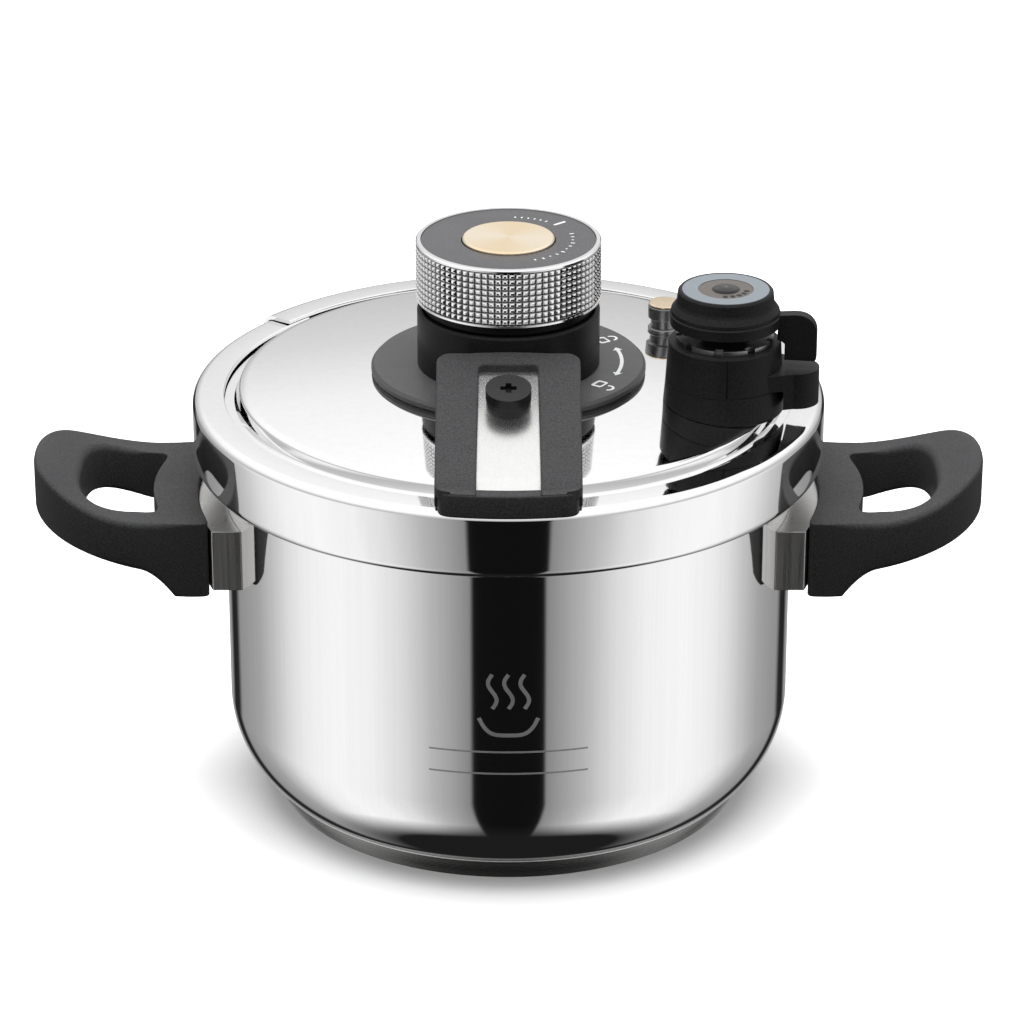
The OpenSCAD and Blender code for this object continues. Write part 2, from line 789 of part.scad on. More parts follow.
module valve_nut() {
    color("lightgray") at_valve() hex_nut(10, valve_hole_r + seat, lid_rim_z - 0.9, 4.4);
}

module valve_gasket() {
    color("#303030")
        at_valve() tube(9.5, valve_hole_r + seat, lid_rim_z + 3.6, 0.9);
}

module valve_strainer() {
    low = lid_rim_z - 4.6;
    color("lightgray")
        at_valve()
            difference() {
                disc(7.2, low, 3.6);
                disc(valve_hole_r + seat, low + 1, 5);
                for (a = [0:45:315]) {
                    rotate([0, 0, a]) translate([3.2, 0, low - 1]) cylinder(r = 0.6, h = 3);
                }
            }
}

module valve_body() {
    color("lightgray")
        at_valve()
            difference() {
                union() {
                    disc(inner_r - 0.3, piston_z - 4 + seat, band_top - piston_z + 4.2 - seat);
                    disc(selector_r - 2.8, band_top + 0.1, 1.9);
                    disc(spindle_r, band_top + 2 - eps, valve_top - 4.2 - band_top - 2);
                }
                disc(6, piston_z - 0.1, chamber_top - piston_z + 0.1);
                disc(1.6, piston_z - 6, 10);
                for (a = [20:40:340]) {
                    rotate([0, 0, a])
                        translate([selector_r - 5, -1.6, band_top + 0.1]) cube([4, 3.2, 4]);
                }
            }
}

module valve_housing() {
    color("#1d1d1e")
        difference() {
            at_valve()
                rotate_extrude()
                    polygon([[inner_r, housing_low], [housing_r - 0.6, housing_low],
                        [housing_r, housing_low + 1], [band_r + 0.9, band_z - 0.3],
                        [band_r + 0.3, band_z - seat], [inner_r, band_z - seat]]);
            under_dome(0.15, plateau_r + 1);
        }
}

// steam lug in plan, from the collar's middle to its round end
module lug_plan() {
    reach = lug_reach - 9;
    polygon([[0, 0.4 - band_r], [reach, -9], [reach, 9], [0, band_r - 0.4]]);
    translate([reach, 0]) circle(r = 9);
}

module valve_collar() {
    color("#202021")
        at_valve()
            difference() {
                union() {
                    rotate_extrude()
                        polygon([[inner_r, band_z], [band_r + 0.9, band_z], [band_r, band_top - 0.6],
                            [band_r - 0.6, band_top], [inner_r, band_top]]);
                    rotate([0, 0, lug_angle]) {
                        translate([0, 0, band_z]) linear_extrude(height = lug_top - band_z) lug_plan();
                        translate([0, 0, lug_low])
                            linear_extrude(height = lug_top - lug_low)
                                difference() {
                                    lug_plan();
                                    translate([-60, -40]) square([60 + housing_r + gap, 80]);
                                }
                    }
                }
                disc(inner_r, lug_low - 1, 60);
                translate([-0.2, -band_r - 3, band_z - 1]) cube([0.4, 3.2, 40]);
            }
}

module selector_knob() {
    r = selector_r;
    z = valve_top;
    lever = concat([[r - 3, z - 12], [r - 3, z - 9], [r + 5, z - 8.3]],
        arc([r + 6.5, z - 15.3], 7, 85, 0), [[r + 13.5, z - 25.9], [r + 13, z - 26.4]],
        [[r + 1.6, z - 26.4], [r + 1.6, z - 20], [r + 0.6, z - 19.2], [r - 1.2, z - 18.6],
         [r - 1.2, z - 13]]);
    color("#1f1f20")
        at_valve() {
            rotate_extrude()
                polygon([
                    [0, z - 4], [spindle_r + fit, z - 4], [spindle_r + fit, band_top + 2.3],
                    [9, band_top + 2.3], [9, z - 9], [r - 2, z - 9], [r - 2, selector_low],
                    [r - 0.4, selector_low], [r - 0.2, z - 9.6], [r - 0.7, z - 9.2],
                    [r - 0.8, z - 7.8], [r - 2.4, z - 5.6], [r - 2.8, z - 4.5],
                    [r - 3.2, z - 0.8], [r - 3.9, z], [r - 4.7, z], [r - 4.7, z - 0.6], [0, z - 0.6]
                ]);
            rotate([0, 0, lug_angle])
                translate([0, 2.5, 0]) rotate([90, 0, 0]) linear_extrude(height = 5) polygon(lever);
        }
}

module selector_ring() {
    color("#8c99a6") at_valve() tube(selector_r - 4.8, 10.4, valve_top - 0.6 + seat, 0.5);
}

module selector_disc() {
    color("#7b7672")
        at_valve()
            rotate_extrude()
                polygon([[0, valve_top - 0.6 + seat], [10.3, valve_top - 0.6 + seat],
                    [10.3, valve_top - 0.2], [5.2, valve_top - 0.2], [4.4, valve_top + 0.5],
                    [2.2, valve_top + 0.9], [0, valve_top + 1]]);
}

module valve_piston() {
    color("goldenrod")
        at_valve() {
            disc(5.6, piston_z + 0.2, 5.5);
            disc(1.2, piston_z - 3, 3.3);
        }
}

module valve_spring() {
    color("silver")
        at_valve() coil(4.2, 0.45, piston_z + 5.75, chamber_top - seat, 4);
}

// ---- pressure indicator ----

module indicator_barrel() {
    top = ind_top;
    color("#55575a")
        difference() {
            at_indicator()
                rotate_extrude()
                    polygon([[ind_pin_r + fit, ind_z - 2], [6.4, ind_z - 2], [6.4, ind_z + 1.4],
                    [6, ind_z + 1.8], [5.3, ind_z + 1.8], [5.3, ind_z + 5.2], [6.4, ind_z + 5.8],
                    [6.4, top - 0.3], [6.1, top], [ind_pin_r + fit, top]]);
            under_dome(0.1, plateau_r);
        }
}

module indicator_nut() {
    color("lightgray") at_indicator() hex_nut(6.8, ind_pin_r + fit, ind_nut_z, 2.2);
}

module indicator_pin() {
    low = ind_nut_z - indicator_travel - 3;
    color("#d9b98c")
        at_indicator()
            rotate_extrude()
                polygon([[0, low], [4, low], [4, low + 1.3], [ind_pin_r, low + 1.3],
                    [ind_pin_r, ind_top + gap], [6.2, ind_top + gap], [6.2, ind_top + 0.8],
                    [5.7, ind_top + 1.2], [0, ind_top + 1.3]]);
}

module indicator_seal() {
    low = ind_nut_z - indicator_travel - 1.65;
    color("#8a3b2f") at_indicator() tube(4.6, ind_pin_r + seat, low, 1.2);
}

pot_body();
base_core();
base_cap();
left_bracket();
right_bracket();
left_handle();
right_handle();
left_handle_screw();
right_handle_screw();
lid_shell();
lid_gasket();
lock_plate();
hub_base();
hub_collar();
centre_stud();
stud_nut();
knob_bush();
stop_plate();
top_nut();
cam_disc();
knob_core();
knurled_ring();
knob_face();
release_button();
button_spring();
front_jaw_ring();
front_arm();
front_cover();
front_end_block();
front_arm_screw();
front_cam_pin();
back_jaw_ring();
back_arm();
back_cover();
back_end_block();
back_arm_screw();
back_cam_pin();
valve_stem();
valve_nut();
valve_gasket();
valve_strainer();
valve_body();
valve_housing();
valve_collar();
selector_knob();
selector_ring();
selector_disc();
valve_piston();
valve_spring();
indicator_barrel();
indicator_nut();
indicator_pin();
indicator_seal();
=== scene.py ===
"""Looks of a stovetop pressure cooker with a turn-knob jaw closure, on a white studio table."""

import json
import math

import bmesh
import bpy
import numpy as np
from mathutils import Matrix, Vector


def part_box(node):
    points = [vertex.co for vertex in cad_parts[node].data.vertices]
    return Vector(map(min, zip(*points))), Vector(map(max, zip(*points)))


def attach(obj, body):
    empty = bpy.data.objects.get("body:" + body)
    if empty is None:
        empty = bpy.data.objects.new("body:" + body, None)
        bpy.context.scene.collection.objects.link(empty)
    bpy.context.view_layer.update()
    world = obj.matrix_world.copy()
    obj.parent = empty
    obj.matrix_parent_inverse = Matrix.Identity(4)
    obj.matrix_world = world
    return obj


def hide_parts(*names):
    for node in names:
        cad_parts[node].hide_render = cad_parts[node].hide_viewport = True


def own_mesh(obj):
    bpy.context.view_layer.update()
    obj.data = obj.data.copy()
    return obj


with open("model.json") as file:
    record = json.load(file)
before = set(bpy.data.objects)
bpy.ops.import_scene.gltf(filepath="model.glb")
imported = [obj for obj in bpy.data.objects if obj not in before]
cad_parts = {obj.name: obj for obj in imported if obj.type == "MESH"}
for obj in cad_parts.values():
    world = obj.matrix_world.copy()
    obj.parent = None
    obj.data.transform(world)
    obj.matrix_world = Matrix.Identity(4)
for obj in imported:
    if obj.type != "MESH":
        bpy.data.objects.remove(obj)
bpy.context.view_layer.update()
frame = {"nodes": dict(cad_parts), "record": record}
NODES = frame["nodes"]
MM = 0.001
TAU = 2 * math.pi


def low_high(name):
    """Lowest and highest corner of a CAD node in millimetres."""
    lo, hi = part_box(name)
    return np.array(lo) / MM, np.array(hi) / MM


# ------------------------------------------------------------------ colours and materials


def lin(code, share=1.0):
    """Linear colour of an sRGB hex code times a share: values under 0.04045 are divided by 12.92, and
    others follow the 2.4 power."""
    v = np.array([int(code[i:i + 2], 16) for i in (1, 3, 5)]) / 255
    v = np.where(v <= 0.04045, v / 12.92, ((v + 0.055) / 1.055) ** 2.4) * share
    return (*v.tolist(), 1.0)


def new_tree(name):
    """An empty material and its node tree."""
    m = bpy.data.materials.new(name)
    m.use_nodes = True
    m.node_tree.nodes.clear()
    return m, m.node_tree


def add(tree, kind, inputs=None, **settings):
    """Adds one shader node with its settings. Each input is a constant, a node whose first output is
    linked, or a (node, output) pair."""
    n = tree.nodes.new("ShaderNode" + kind)
    for key, value in settings.items():
        setattr(n, key, value)
    for key, value in (inputs or {}).items():
        if isinstance(value, bpy.types.Node):
            value = (value, 0)
        if isinstance(value, tuple) and isinstance(value[0], bpy.types.Node):
            tree.links.new(value[0].outputs[value[1]], n.inputs[key])
        else:
            n.inputs[key].default_value = value
    return n


def ends(low, high, start=0.3, end=0.7):
    """Inputs that map start..end to low..high; noise mostly fills 0.3 to 0.7."""
    return {"From Min": start, "From Max": end, "To Min": low, "To Max": high}


def from_axis(tree, xyz):
    """Distance from the upright axis: the root of x squared plus y squared."""
    x2 = add(tree, "Math", {0: (xyz, 0), 1: (xyz, 0)}, operation="MULTIPLY")
    y2 = add(tree, "Math", {0: (xyz, 1), 1: (xyz, 1)}, operation="MULTIPLY")
    total = add(tree, "Math", {0: x2, 1: y2}, operation="ADD")
    return add(tree, "Math", {0: total}, operation="SQRT")


def finish_surface(m, tree, surface):
    """Links a shader to the material's output."""
    add(tree, "OutputMaterial", {"Surface": surface})
    return m


RELIEF = 0.0002
EDGE_SAMPLES = 6


def steel(name, code, rough, streak, size, bevel=0.0, turned=False, bump=0.02, lines=0.35):
    """Steel with fine brushing lines: noise stretched by size (x, y, z counts per metre) varies colour,
    roughness and height. The eye gets soft streaks along the grain instead of a clean mirror."""
    m, t = new_tree(name)
    spot = (add(t, "UVMap"), 0) if turned else (add(t, "TexCoord"), "Object")
    scaled = add(t, "Mapping", {"Vector": spot, "Scale": size})
    wider = add(t, "Mapping", {"Vector": spot, "Scale": tuple(s * 0.11 for s in size)})
    fine = add(t, "TexNoise", {"Vector": scaled, "Scale": 1.0, "Detail": 3.0, "Roughness": 0.6})
    broad = add(t, "TexNoise", {"Vector": wider, "Scale": 1.0, "Detail": 2.0, "Roughness": 0.6})
    share = add(t, "MapRange", {"Value": fine, **ends(0.0, 1.0)})
    tone = add(t, "MixRGB", {"Fac": share, "Color1": lin(code), "Color2": lin(code, 1 - lines * 0.3)})
    fine_wear = add(t, "MapRange", {"Value": fine, **ends(rough, rough + streak)})
    broad_wear = add(t, "MapRange", {"Value": broad, **ends(-streak * 0.3, streak * 0.3)})
    wear = add(t, "Math", {0: fine_wear, 1: broad_wear}, operation="ADD")
    relief = {"Height": fine, "Strength": bump, "Distance": RELIEF}
    if bevel:
        relief["Normal"] = add(t, "Bevel", {"Radius": bevel}, samples=EDGE_SAMPLES)
    normal = add(t, "Bump", relief)
    p = add(t, "BsdfPrincipled", {"Base Color": tone, "Roughness": wear, "Normal": normal, "Metallic": 1.0})
    return finish_surface(m, t, p)


def plastic(name, code, code2, rough, grain, depth, bevel=0.0004, spec=0.5):
    """Moulded plastic: a fine pebble (grain cells per metre) in the surface, its tone and its gloss, and a
    slow change of gloss. It gives dull black with a soft sheen on the faces turned to the light."""
    m, t = new_tree(name)
    spot = (add(t, "TexCoord"), "Object")
    cells = add(t, "TexNoise", {"Vector": spot, "Scale": grain, "Detail": 2.0, "Roughness": 0.5})
    slow = add(t, "TexNoise", {"Vector": spot, "Scale": 38.0, "Detail": 3.0, "Roughness": 0.6})
    share = add(t, "MapRange", {"Value": cells, **ends(0.0, 1.0)})
    tone = add(t, "MixRGB", {"Fac": share, "Color1": lin(code), "Color2": lin(code2)})
    patches = add(t, "MapRange", {"Value": slow, **ends(rough - 0.04, rough + 0.05)})
    specks = add(t, "MapRange", {"Value": cells, **ends(-0.03, 0.03)})
    gloss = add(t, "Math", {0: patches, 1: specks}, operation="ADD")
    relief = {"Height": cells, "Strength": depth, "Distance": RELIEF}
    if bevel:
        relief["Normal"] = add(t, "Bevel", {"Radius": bevel}, samples=EDGE_SAMPLES)
    normal = add(t, "Bump", relief)
    p = add(t, "BsdfPrincipled", {"Base Color": tone, "Roughness": gloss, "Normal": normal,
                                  "Specular IOR Level": spec})
    return finish_surface(m, t, p)


def circular_gold(name):
    """Turned gold anodising about the main axis: fine rings counted by the radius, and a painted highlight: a
    slow fan of light and dark by the angle, as a lathe-turned face shows under a wide lamp."""
    m, t = new_tree(name)
    xyz = add(t, "SeparateXYZ", {"Vector": (add(t, "TexCoord"), "Object")})
    scaled = add(t, "Math", {0: from_axis(t, xyz), 1: 7000.0}, operation="MULTIPLY")
    ring_at = add(t, "CombineXYZ", {"X": scaled})
    rings = add(t, "TexNoise", {"Vector": ring_at, "Scale": 1.0, "Detail": 3.0, "Roughness": 0.6})
    angle = add(t, "Math", {0: (xyz, 1), 1: (xyz, 0)}, operation="ARCTAN2")
    doubled = add(t, "Math", {0: angle, 1: 2.0, 2: 0.5}, operation="MULTIPLY_ADD")
    fan = add(t, "Math", {0: doubled}, operation="COSINE")
    # Painted highlight: the fan lightens and darkens the gold by twice the angle, standing in for the
    # reflection of a wide lamp.
    painted_highlight_fan = add(t, "MapRange", {"Value": fan, **ends(0.0, 0.55, -1.0, 1.0)})
    ring_tone = add(t, "MapRange", {"Value": rings, **ends(0.0, 0.45)})
    share = add(t, "Math", {0: painted_highlight_fan, 1: ring_tone}, operation="ADD")
    tone = add(t, "MixRGB", {"Fac": share, "Color1": lin("#f4dcb4"), "Color2": lin("#fdf3e2")})
    gloss = add(t, "MapRange", {"Value": rings, **ends(0.30, 0.42)})
    edge = add(t, "Bevel", {"Radius": 0.0004}, samples=EDGE_SAMPLES)
    normal = add(t, "Bump", {"Height": rings, "Normal": edge, "Strength": 0.04, "Distance": 0.0001})
    p = add(t, "BsdfPrincipled", {"Base Color": tone, "Roughness": gloss, "Normal": normal, "Metallic": 1.0})
    return finish_surface(m, t, p)


def knurled(name):
    """Polished chrome with painted shade in its grooves: the colour darkens with depth, told from the radius,
    so the studs stand out as bright dots; the plain rim at the top stays bright, told from the height."""
    m, t = new_tree(name)
    spot = (add(t, "TexCoord"), "Object")
    xyz = add(t, "SeparateXYZ", {"Vector": spot})
    corner = low_high("knurled_ring")[1]
    widest, highest = float(corner[0]) * MM, float(corner[2]) * MM
    stud = add(t, "MapRange", {"Value": from_axis(t, xyz), **ends(0.0, 1.0, widest - 0.0008, widest - 0.0002)})
    rim = add(t, "MapRange", {"Value": (xyz, 2), **ends(0.0, 1.0, highest - 0.0014, highest - 0.0012)})
    bright = add(t, "Math", {0: stud, 1: rim}, operation="MAXIMUM")
    # Painted shade: the grooves get dark grey instead of the chrome's own colour, which shows on the stud tops
    # and the rim.
    tone = add(t, "MixRGB", {"Fac": bright, "Color1": lin("#303030"), "Color2": lin("#f1f1f1")})
    fine = add(t, "TexNoise", {"Vector": spot, "Scale": 1200.0, "Detail": 2.0, "Roughness": 0.6})
    gloss = add(t, "MapRange", {"Value": fine, **ends(0.10, 0.16)})
    p = add(t, "BsdfPrincipled", {"Base Color": tone, "Roughness": gloss, "Metallic": 1.0})
    return finish_surface(m, t, p)


def ink(name, code):
    """Matte printing ink with a faint mottle."""
    m, t = new_tree(name)
    spot = (add(t, "TexCoord"), "Object")
    cells = add(t, "TexNoise", {"Vector": spot, "Scale": 1500.0, "Detail": 2.0, "Roughness": 0.6})
    share = add(t, "MapRange", {"Value": cells, **ends(0.0, 1.0)})
    tone = add(t, "MixRGB", {"Fac": share, "Color1": lin(code), "Color2": lin(code, 0.8)})
    p = add(t, "BsdfPrincipled", {"Base Color": tone, "Roughness": 0.5})
    return finish_surface(m, t, p)


MATS = {
    "pot_steel": steel("satin_pot_steel", "#f2f2f2", 0.05, 0.015, (700.0, 700.0, 9.0), bump=0.0,
                       lines=0.1),
    "base_steel": steel("brushed_base_steel", "#c6c5c4", 0.22, 0.12, (1.0, 2400.0, 1.0), turned=True,
                        bump=0.08),
    "core_aluminium": steel("cast_aluminium_core", "#c4c6c8", 0.35, 0.1, (900.0, 900.0, 900.0)),
    "polished_steel": steel("polished_lid_steel", "#f4f4f4", 0.045, 0.012, (260.0, 260.0, 30.0),
                            bump=0.0, lines=0.1),
    "arm_steel": steel("brushed_arm_steel", "#f1f1f0", 0.26, 0.02, (900.0, 24.0, 900.0),
                       bevel=0.0004, bump=0.0, lines=0.12),
    "guard_steel": steel("satin_guard_steel", "#c9c8c6", 0.27, 0.08, (900.0, 900.0, 24.0),
                         bevel=0.0006, bump=0.03),
    "small_steel": steel("plain_fitting_steel", "#8f8f90", 0.28, 0.1, (600.0, 600.0, 120.0), bevel=0.0002),
    "handle_plastic": plastic("pebbled_black_phenolic", "#2f2f30", "#464647", 0.46, 1900.0, 0.30,
                              spec=0.07),
    "hub_plastic": plastic("smooth_black_nylon", "#1b1b1c", "#262627", 0.40, 1300.0, 0.10, spec=0.10),
    "plate_plastic": plastic("printed_black_plate", "#373738", "#4c4c4d", 0.44, 2400.0, 0.25,
                             bevel=0.0, spec=0.4),
    "screw_black": plastic("black_screw_lacquer", "#1b1b1c", "#232324", 0.36, 1600.0, 0.12,
                           bevel=0.0003, spec=0.3),
    "knurl_chrome": knurled("knurled_chrome_painted_groove_shade"),
    "face_grey": plastic("flecked_grey_face", "#343436", "#525254", 0.42, 3000.0, 0.2, bevel=0.0),
    "button_gold": circular_gold("turned_gold_button"),
    "brass": steel("gold_plated_pin", "#e6d2b6", 0.24, 0.05, (500.0, 500.0, 500.0), bevel=0.0003),
    "seal_rubber": plastic("pale_silicone_seal", "#b9b8b2", "#c4c3bd", 0.5, 900.0, 0.1, bevel=0.0),
    "dark_rubber": plastic("dark_seal_rubber", "#161616", "#1d1d1d", 0.6, 900.0, 0.2, bevel=0.0),
    "red_rubber": plastic("red_seal_silicone", "#7d2e22", "#8c382a", 0.5, 900.0, 0.1, bevel=0.0),
    "label_blue": plastic("blue_grey_label", "#686f75", "#737a80", 0.4, 2500.0, 0.06, bevel=0.0),
    "label_brown": plastic("grey_brown_disc", "#4a4541", "#57514c", 0.4, 2500.0, 0.1, bevel=0.0002),
}
WHITE_INK = ink("pale_print", "#d4d5d6")
BLACK_INK = ink("black_print", "#0a0a0b")
DIMPLE = plastic("glossy_black_dimple", "#070707", "#0c0c0c", 0.15, 900.0, 0.02, bevel=0.0)

for part in frame["record"]["subparts"]:
    for s in NODES[part["node"]].material_slots:
        s.material = MATS["guard_steel" if part["node"].endswith("_bracket") else part["material_slot"]]
BODY_OF = {n: b for b, names in frame["record"]["behaviour"]["bodies"].items() for n in names}


# ------------------------------------------------------------------ surfaces


def skin(name, pts, wrap_u, wrap_v, material, sharp=30.0, ends=False, v_len=None):
    """Skin over a grid of points in millimetres: point [i, j] joins [i+1, j] and [i, j+1]. wrap_u and
    wrap_v join the last row or column to the first, and ends closes the first and last row flat. The UV
    holds the row's share of the whole and the length along the row in metres. Doubled points are welded
    and normals face outwards."""
    nu, nv = pts.shape[:2]
    idx = np.arange(nu * nv).reshape(nu, nv)
    rows = nu if wrap_u else nu - 1
    columns = nv if wrap_v else nv - 1
    ii, jj = np.meshgrid(np.arange(rows), np.arange(columns), indexing="ij")
    i2, j2 = (ii + 1) % nu, (jj + 1) % nv
    quads = np.stack([idx[ii, jj], idx[i2, jj], idx[i2, j2], idx[ii, j2]], -1).reshape(-1, 4)
    faces = quads.tolist() + ([idx[0, ::-1].tolist(), idx[-1].tolist()] if ends else [])
    mesh = bpy.data.meshes.new(name)
    mesh.from_pydata((pts.reshape(-1, 3) * MM).tolist(), [], faces)
    if v_len is None:
        step = np.linalg.norm(np.diff(np.vstack([pts[0], pts[0, :1]]), axis=0), axis=1)
        v_len = np.concatenate([[0], np.cumsum(step)])
    u = np.stack([ii, ii + 1, ii + 1, ii], -1) / max(rows, 1)
    v = v_len[np.stack([jj, jj, jj + 1, jj + 1], -1)] * MM
    uv = np.zeros((len(mesh.loops), 2))
    uv[:quads.size] = np.stack([u, v], -1).reshape(-1, 2)
    mesh.uv_layers.new(name="UVMap").data.foreach_set("uv", uv.ravel())
    bm = bmesh.new()
    bm.from_mesh(mesh)
    bmesh.ops.remove_doubles(bm, verts=bm.verts, dist=1e-7)
    bmesh.ops.recalc_face_normals(bm, faces=bm.faces)
    bm.to_mesh(mesh)
    bm.free()
    mesh.shade_smooth()
    mesh.set_sharp_from_angle(angle=math.radians(sharp))
    mesh.materials.append(material)
    o = bpy.data.objects.new(name, mesh)
    bpy.context.scene.collection.objects.link(o)
    return o


def stands_for(o, node):
    """The piece takes a CAD node's place: its body, and the node is hidden."""
    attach(o, BODY_OF[node])
    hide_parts(node)
    return o


def extra(o, body):
    """A small added piece, such as printing, on a body."""
    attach(o, body)
    return o


def path(corners, steps=6):
    """Outline through corners (x, y, radius). A corner with a radius is cut back on both sides by
    radius x tan(half its turn) and bridged by an arc."""
    pts = np.array([c[:2] for c in corners], float)
    out = []
    for k, c in enumerate(corners):
        p, r = pts[k], c[2] if len(c) > 2 else 0
        a, b = pts[k - 1] - p, pts[(k + 1) % len(pts)] - p
        a, b = a / np.linalg.norm(a), b / np.linalg.norm(b)
        half = math.acos(max(-1, min(1, float(a @ b)))) / 2
        if r <= 0 or half > 1.56:
            out.append(p[None])
            continue
        middle = p + (a + b) / np.linalg.norm(a + b) * r / math.sin(half)
        s, e = p + a * r / math.tan(half) - middle, p + b * r / math.tan(half) - middle
        a0 = math.atan2(s[1], s[0])
        turn = (math.atan2(e[1], e[0]) - a0 + math.pi) % TAU - math.pi
        ang = a0 + turn * np.linspace(0, 1, steps + 1)
        out.append(middle + r * np.stack([np.cos(ang), np.sin(ang)], -1))
    return np.concatenate(out)


def arc(cx, cy, r, a0, a1, n=12):
    """Points of a circular arc from angle a0 to a1 in degrees."""
    a = np.radians(np.linspace(a0, a1, n + 1))
    return np.stack([cx + r * np.cos(a), cy + r * np.sin(a)], -1)


def turned(outline, cx=0.0, cy=0.0, start=0.0, sweep=360.0, steps=192):
    """Grid of a turned shape: x = cx + r cos a, y = cy + r sin a, z = height, for each (r, height) of the
    outline."""
    a = np.radians(start + sweep * np.arange(steps if sweep == 360 else steps + 1) / steps)
    r, z = outline[:, 0], outline[:, 1]
    return np.stack([cx + r * np.cos(a)[:, None], cy + r * np.sin(a)[:, None], z + 0 * a[:, None]], -1)


def lathe(name, outline, material, cx=0.0, cy=0.0, start=0.0, sweep=360.0, steps=192, sharp=30.0):
    """Skin of a closed (radius, height) outline turned about an upright axis; part turns get flat ends."""
    full = sweep == 360
    return skin(name, turned(outline, cx, cy, start, sweep, steps), full, True, material, sharp, not full)


# ------------------------------------------------------------------ pot

hi = low_high("pot_body")[1]
RIM_Z = float(hi[2])
FLANGE_R = float(hi[0])
R = FLANGE_R - 5.5
WALL = 1.2


def pot_outline():
    """Outside from the middle of the floor along a small and a large corner arc, up the straight wall and
    round the rim flange, then the same path inside, one wall thickness in."""
    floor, small, large, turn = 8.0, 14, 44, 39.3
    cx1 = R - large
    cx2 = cx1 + (large - small) * math.cos(math.radians(turn))
    cz2 = floor + small
    cz1 = cz2 + (large - small) * math.sin(math.radians(turn))
    lip = FLANGE_R - WALL
    outside = [np.array([[0, floor], [cx2 * 0.5, floor]]),
               arc(cx2, cz2, small, -90, -turn, 14), arc(cx1, cz1, large, -turn, 0, 24),
               np.array([[R, 80.0], [R, 120.0], [R, RIM_Z - WALL]]),
               np.array([[lip, RIM_Z - WALL], [lip, RIM_Z - 11], [FLANGE_R, RIM_Z - 11]]),
               arc(FLANGE_R - 1.5, RIM_Z - 1.5, 1.5, 0, 90, 5),
               np.array([[R - WALL, RIM_Z], [R - WALL, 90.0]])]
    inside = [arc(cx1, cz1, large - WALL, 0, -turn, 24), arc(cx2, cz2, small - WALL, -turn, -90, 14),
              np.array([[cx2 * 0.5, floor + WALL], [0, floor + WALL]])]
    return np.concatenate(outside + inside)


stands_for(lathe("pot", pot_outline(), MATS["pot_steel"], steps=288), "pot_body")

BASE_R = float(low_high("base_cap")[1][0])
base = path([(0, 0), (BASE_R - 5.4, 0, 0.5), (BASE_R, 9.4, 0.25), (BASE_R - 0.1, 9.8, 0.2),
             (BASE_R - 0.6, 9.8), (BASE_R - 0.7, 9.2), (BASE_R - 6.1, 0.9), (0, 0.9)], 4)
stands_for(lathe("base", base, MATS["base_steel"], steps=288), "base_cap")

# ------------------------------------------------------------------ lid

hi = low_high("lid_shell")[1]
DOME_Z = float(hi[2])
LID_R = float(hi[0])
LID_RIM = DOME_Z - 11.0
EDGE_Z = DOME_Z - 5.5
JAW_LO, JAW_HI = low_high("front_jaw_ring")
JAW_R, JAW_LOW, JAW_Z = float(JAW_HI[0]), float(JAW_LO[2]), float(JAW_HI[2])
JAW_SHEET = 1.5
LID_SHEET = 1.2
TOP_IN = JAW_R - 12.3
STEP_R = TOP_IN - 6 * math.sin(math.radians(43)) - 0.5
PLAT_R = STEP_R - 1


def dome(r, up=0.0):
    """Height of the lid at radius r: the middle less 5.5 mm times the squared share of the plateau's
    radius."""
    return DOME_Z - 5.5 * (r / PLAT_R) ** 2 + up


def lid_outline():
    """Dome by the squared-radius rule, a rounded brow, a short step down to the outer rim, the rim's
    rolled edge, and back underneath one sheet thickness lower."""
    r = np.linspace(0, PLAT_R - 1.6, 60)
    top = np.stack([r, dome(r)], -1)
    brow = arc(PLAT_R - 1.6, EDGE_Z - 1.6, 1.6, 80, 8, 8)
    step = np.array([[STEP_R - 0.3, LID_RIM + 1.4], [STEP_R, LID_RIM + 0.8], [STEP_R + 0.8, LID_RIM]])
    rim = arc(LID_R - 1.8, LID_RIM - 1.8, 1.8, 90, 0, 6)
    low = np.array([[LID_R, 153.2], [LID_R - 1.2, 153.2]])
    back = arc(LID_R - 1.8, LID_RIM - 1.8, 0.6, 0, 90, 4)
    r2 = np.linspace(PLAT_R - 2, 0, 40)
    under = np.stack([r2, dome(r2) - LID_SHEET], -1)
    return np.concatenate([top, brow, step, rim, low, back, [[STEP_R - 0.8, LID_RIM - LID_SHEET]], under])


stands_for(lathe("lid", lid_outline(), MATS["polished_steel"], steps=288), "lid_shell")

PLATE_R = float(low_high("lock_plate")[1][0])
PLATE_Z = float(low_high("lock_plate")[1][2])
foot = np.linspace(PLATE_R - 1.2, 0, 24)
plate = np.concatenate([[[0, PLATE_Z], [PLATE_R - 1.3, PLATE_Z], [PLATE_R - 1.1, PLATE_Z - 0.05],
                         [PLATE_R, PLATE_Z - 1.2]],
                        [[PLATE_R, dome(PLATE_R) + 1.2]], np.stack([foot, dome(foot, 0.05)], -1)])
stands_for(lathe("lock_plate_disc", plate, MATS["plate_plastic"]), "lock_plate")

# ------------------------------------------------------------------ jaws


def jaw_outline(out, heel):
    """Flat top, rounded shoulder and upright wall of a jaw, with a turned-in heel on the front one; the
    inside runs one sheet thickness in. out is how far this jaw lies outside the other."""
    t, low = JAW_SHEET, JAW_LOW
    r, z = JAW_R + out, JAW_Z + out
    sh = 3.5 + out
    top = [[TOP_IN, z - t + 0.2], [TOP_IN, z - 0.35], [TOP_IN + 0.35, z]]
    over = arc(r - sh, z - sh, sh, 90, 0, 10)
    under = arc(r - sh, z - sh, sh - t, 0, 90, 8)
    if heel:
        foot = [arc(r - 4, low + 4, 4, 0, -90, 8), np.array([[r - 4.8, low], [r - 4.8, low + t]]),
                arc(r - 4, low + 4, 4 - t, -90, 0, 8)]
    else:
        foot = [np.array([[r, low + 0.4], [r - 0.4, low], [r - t, low]])]
    return np.concatenate([top, over, *foot, under])


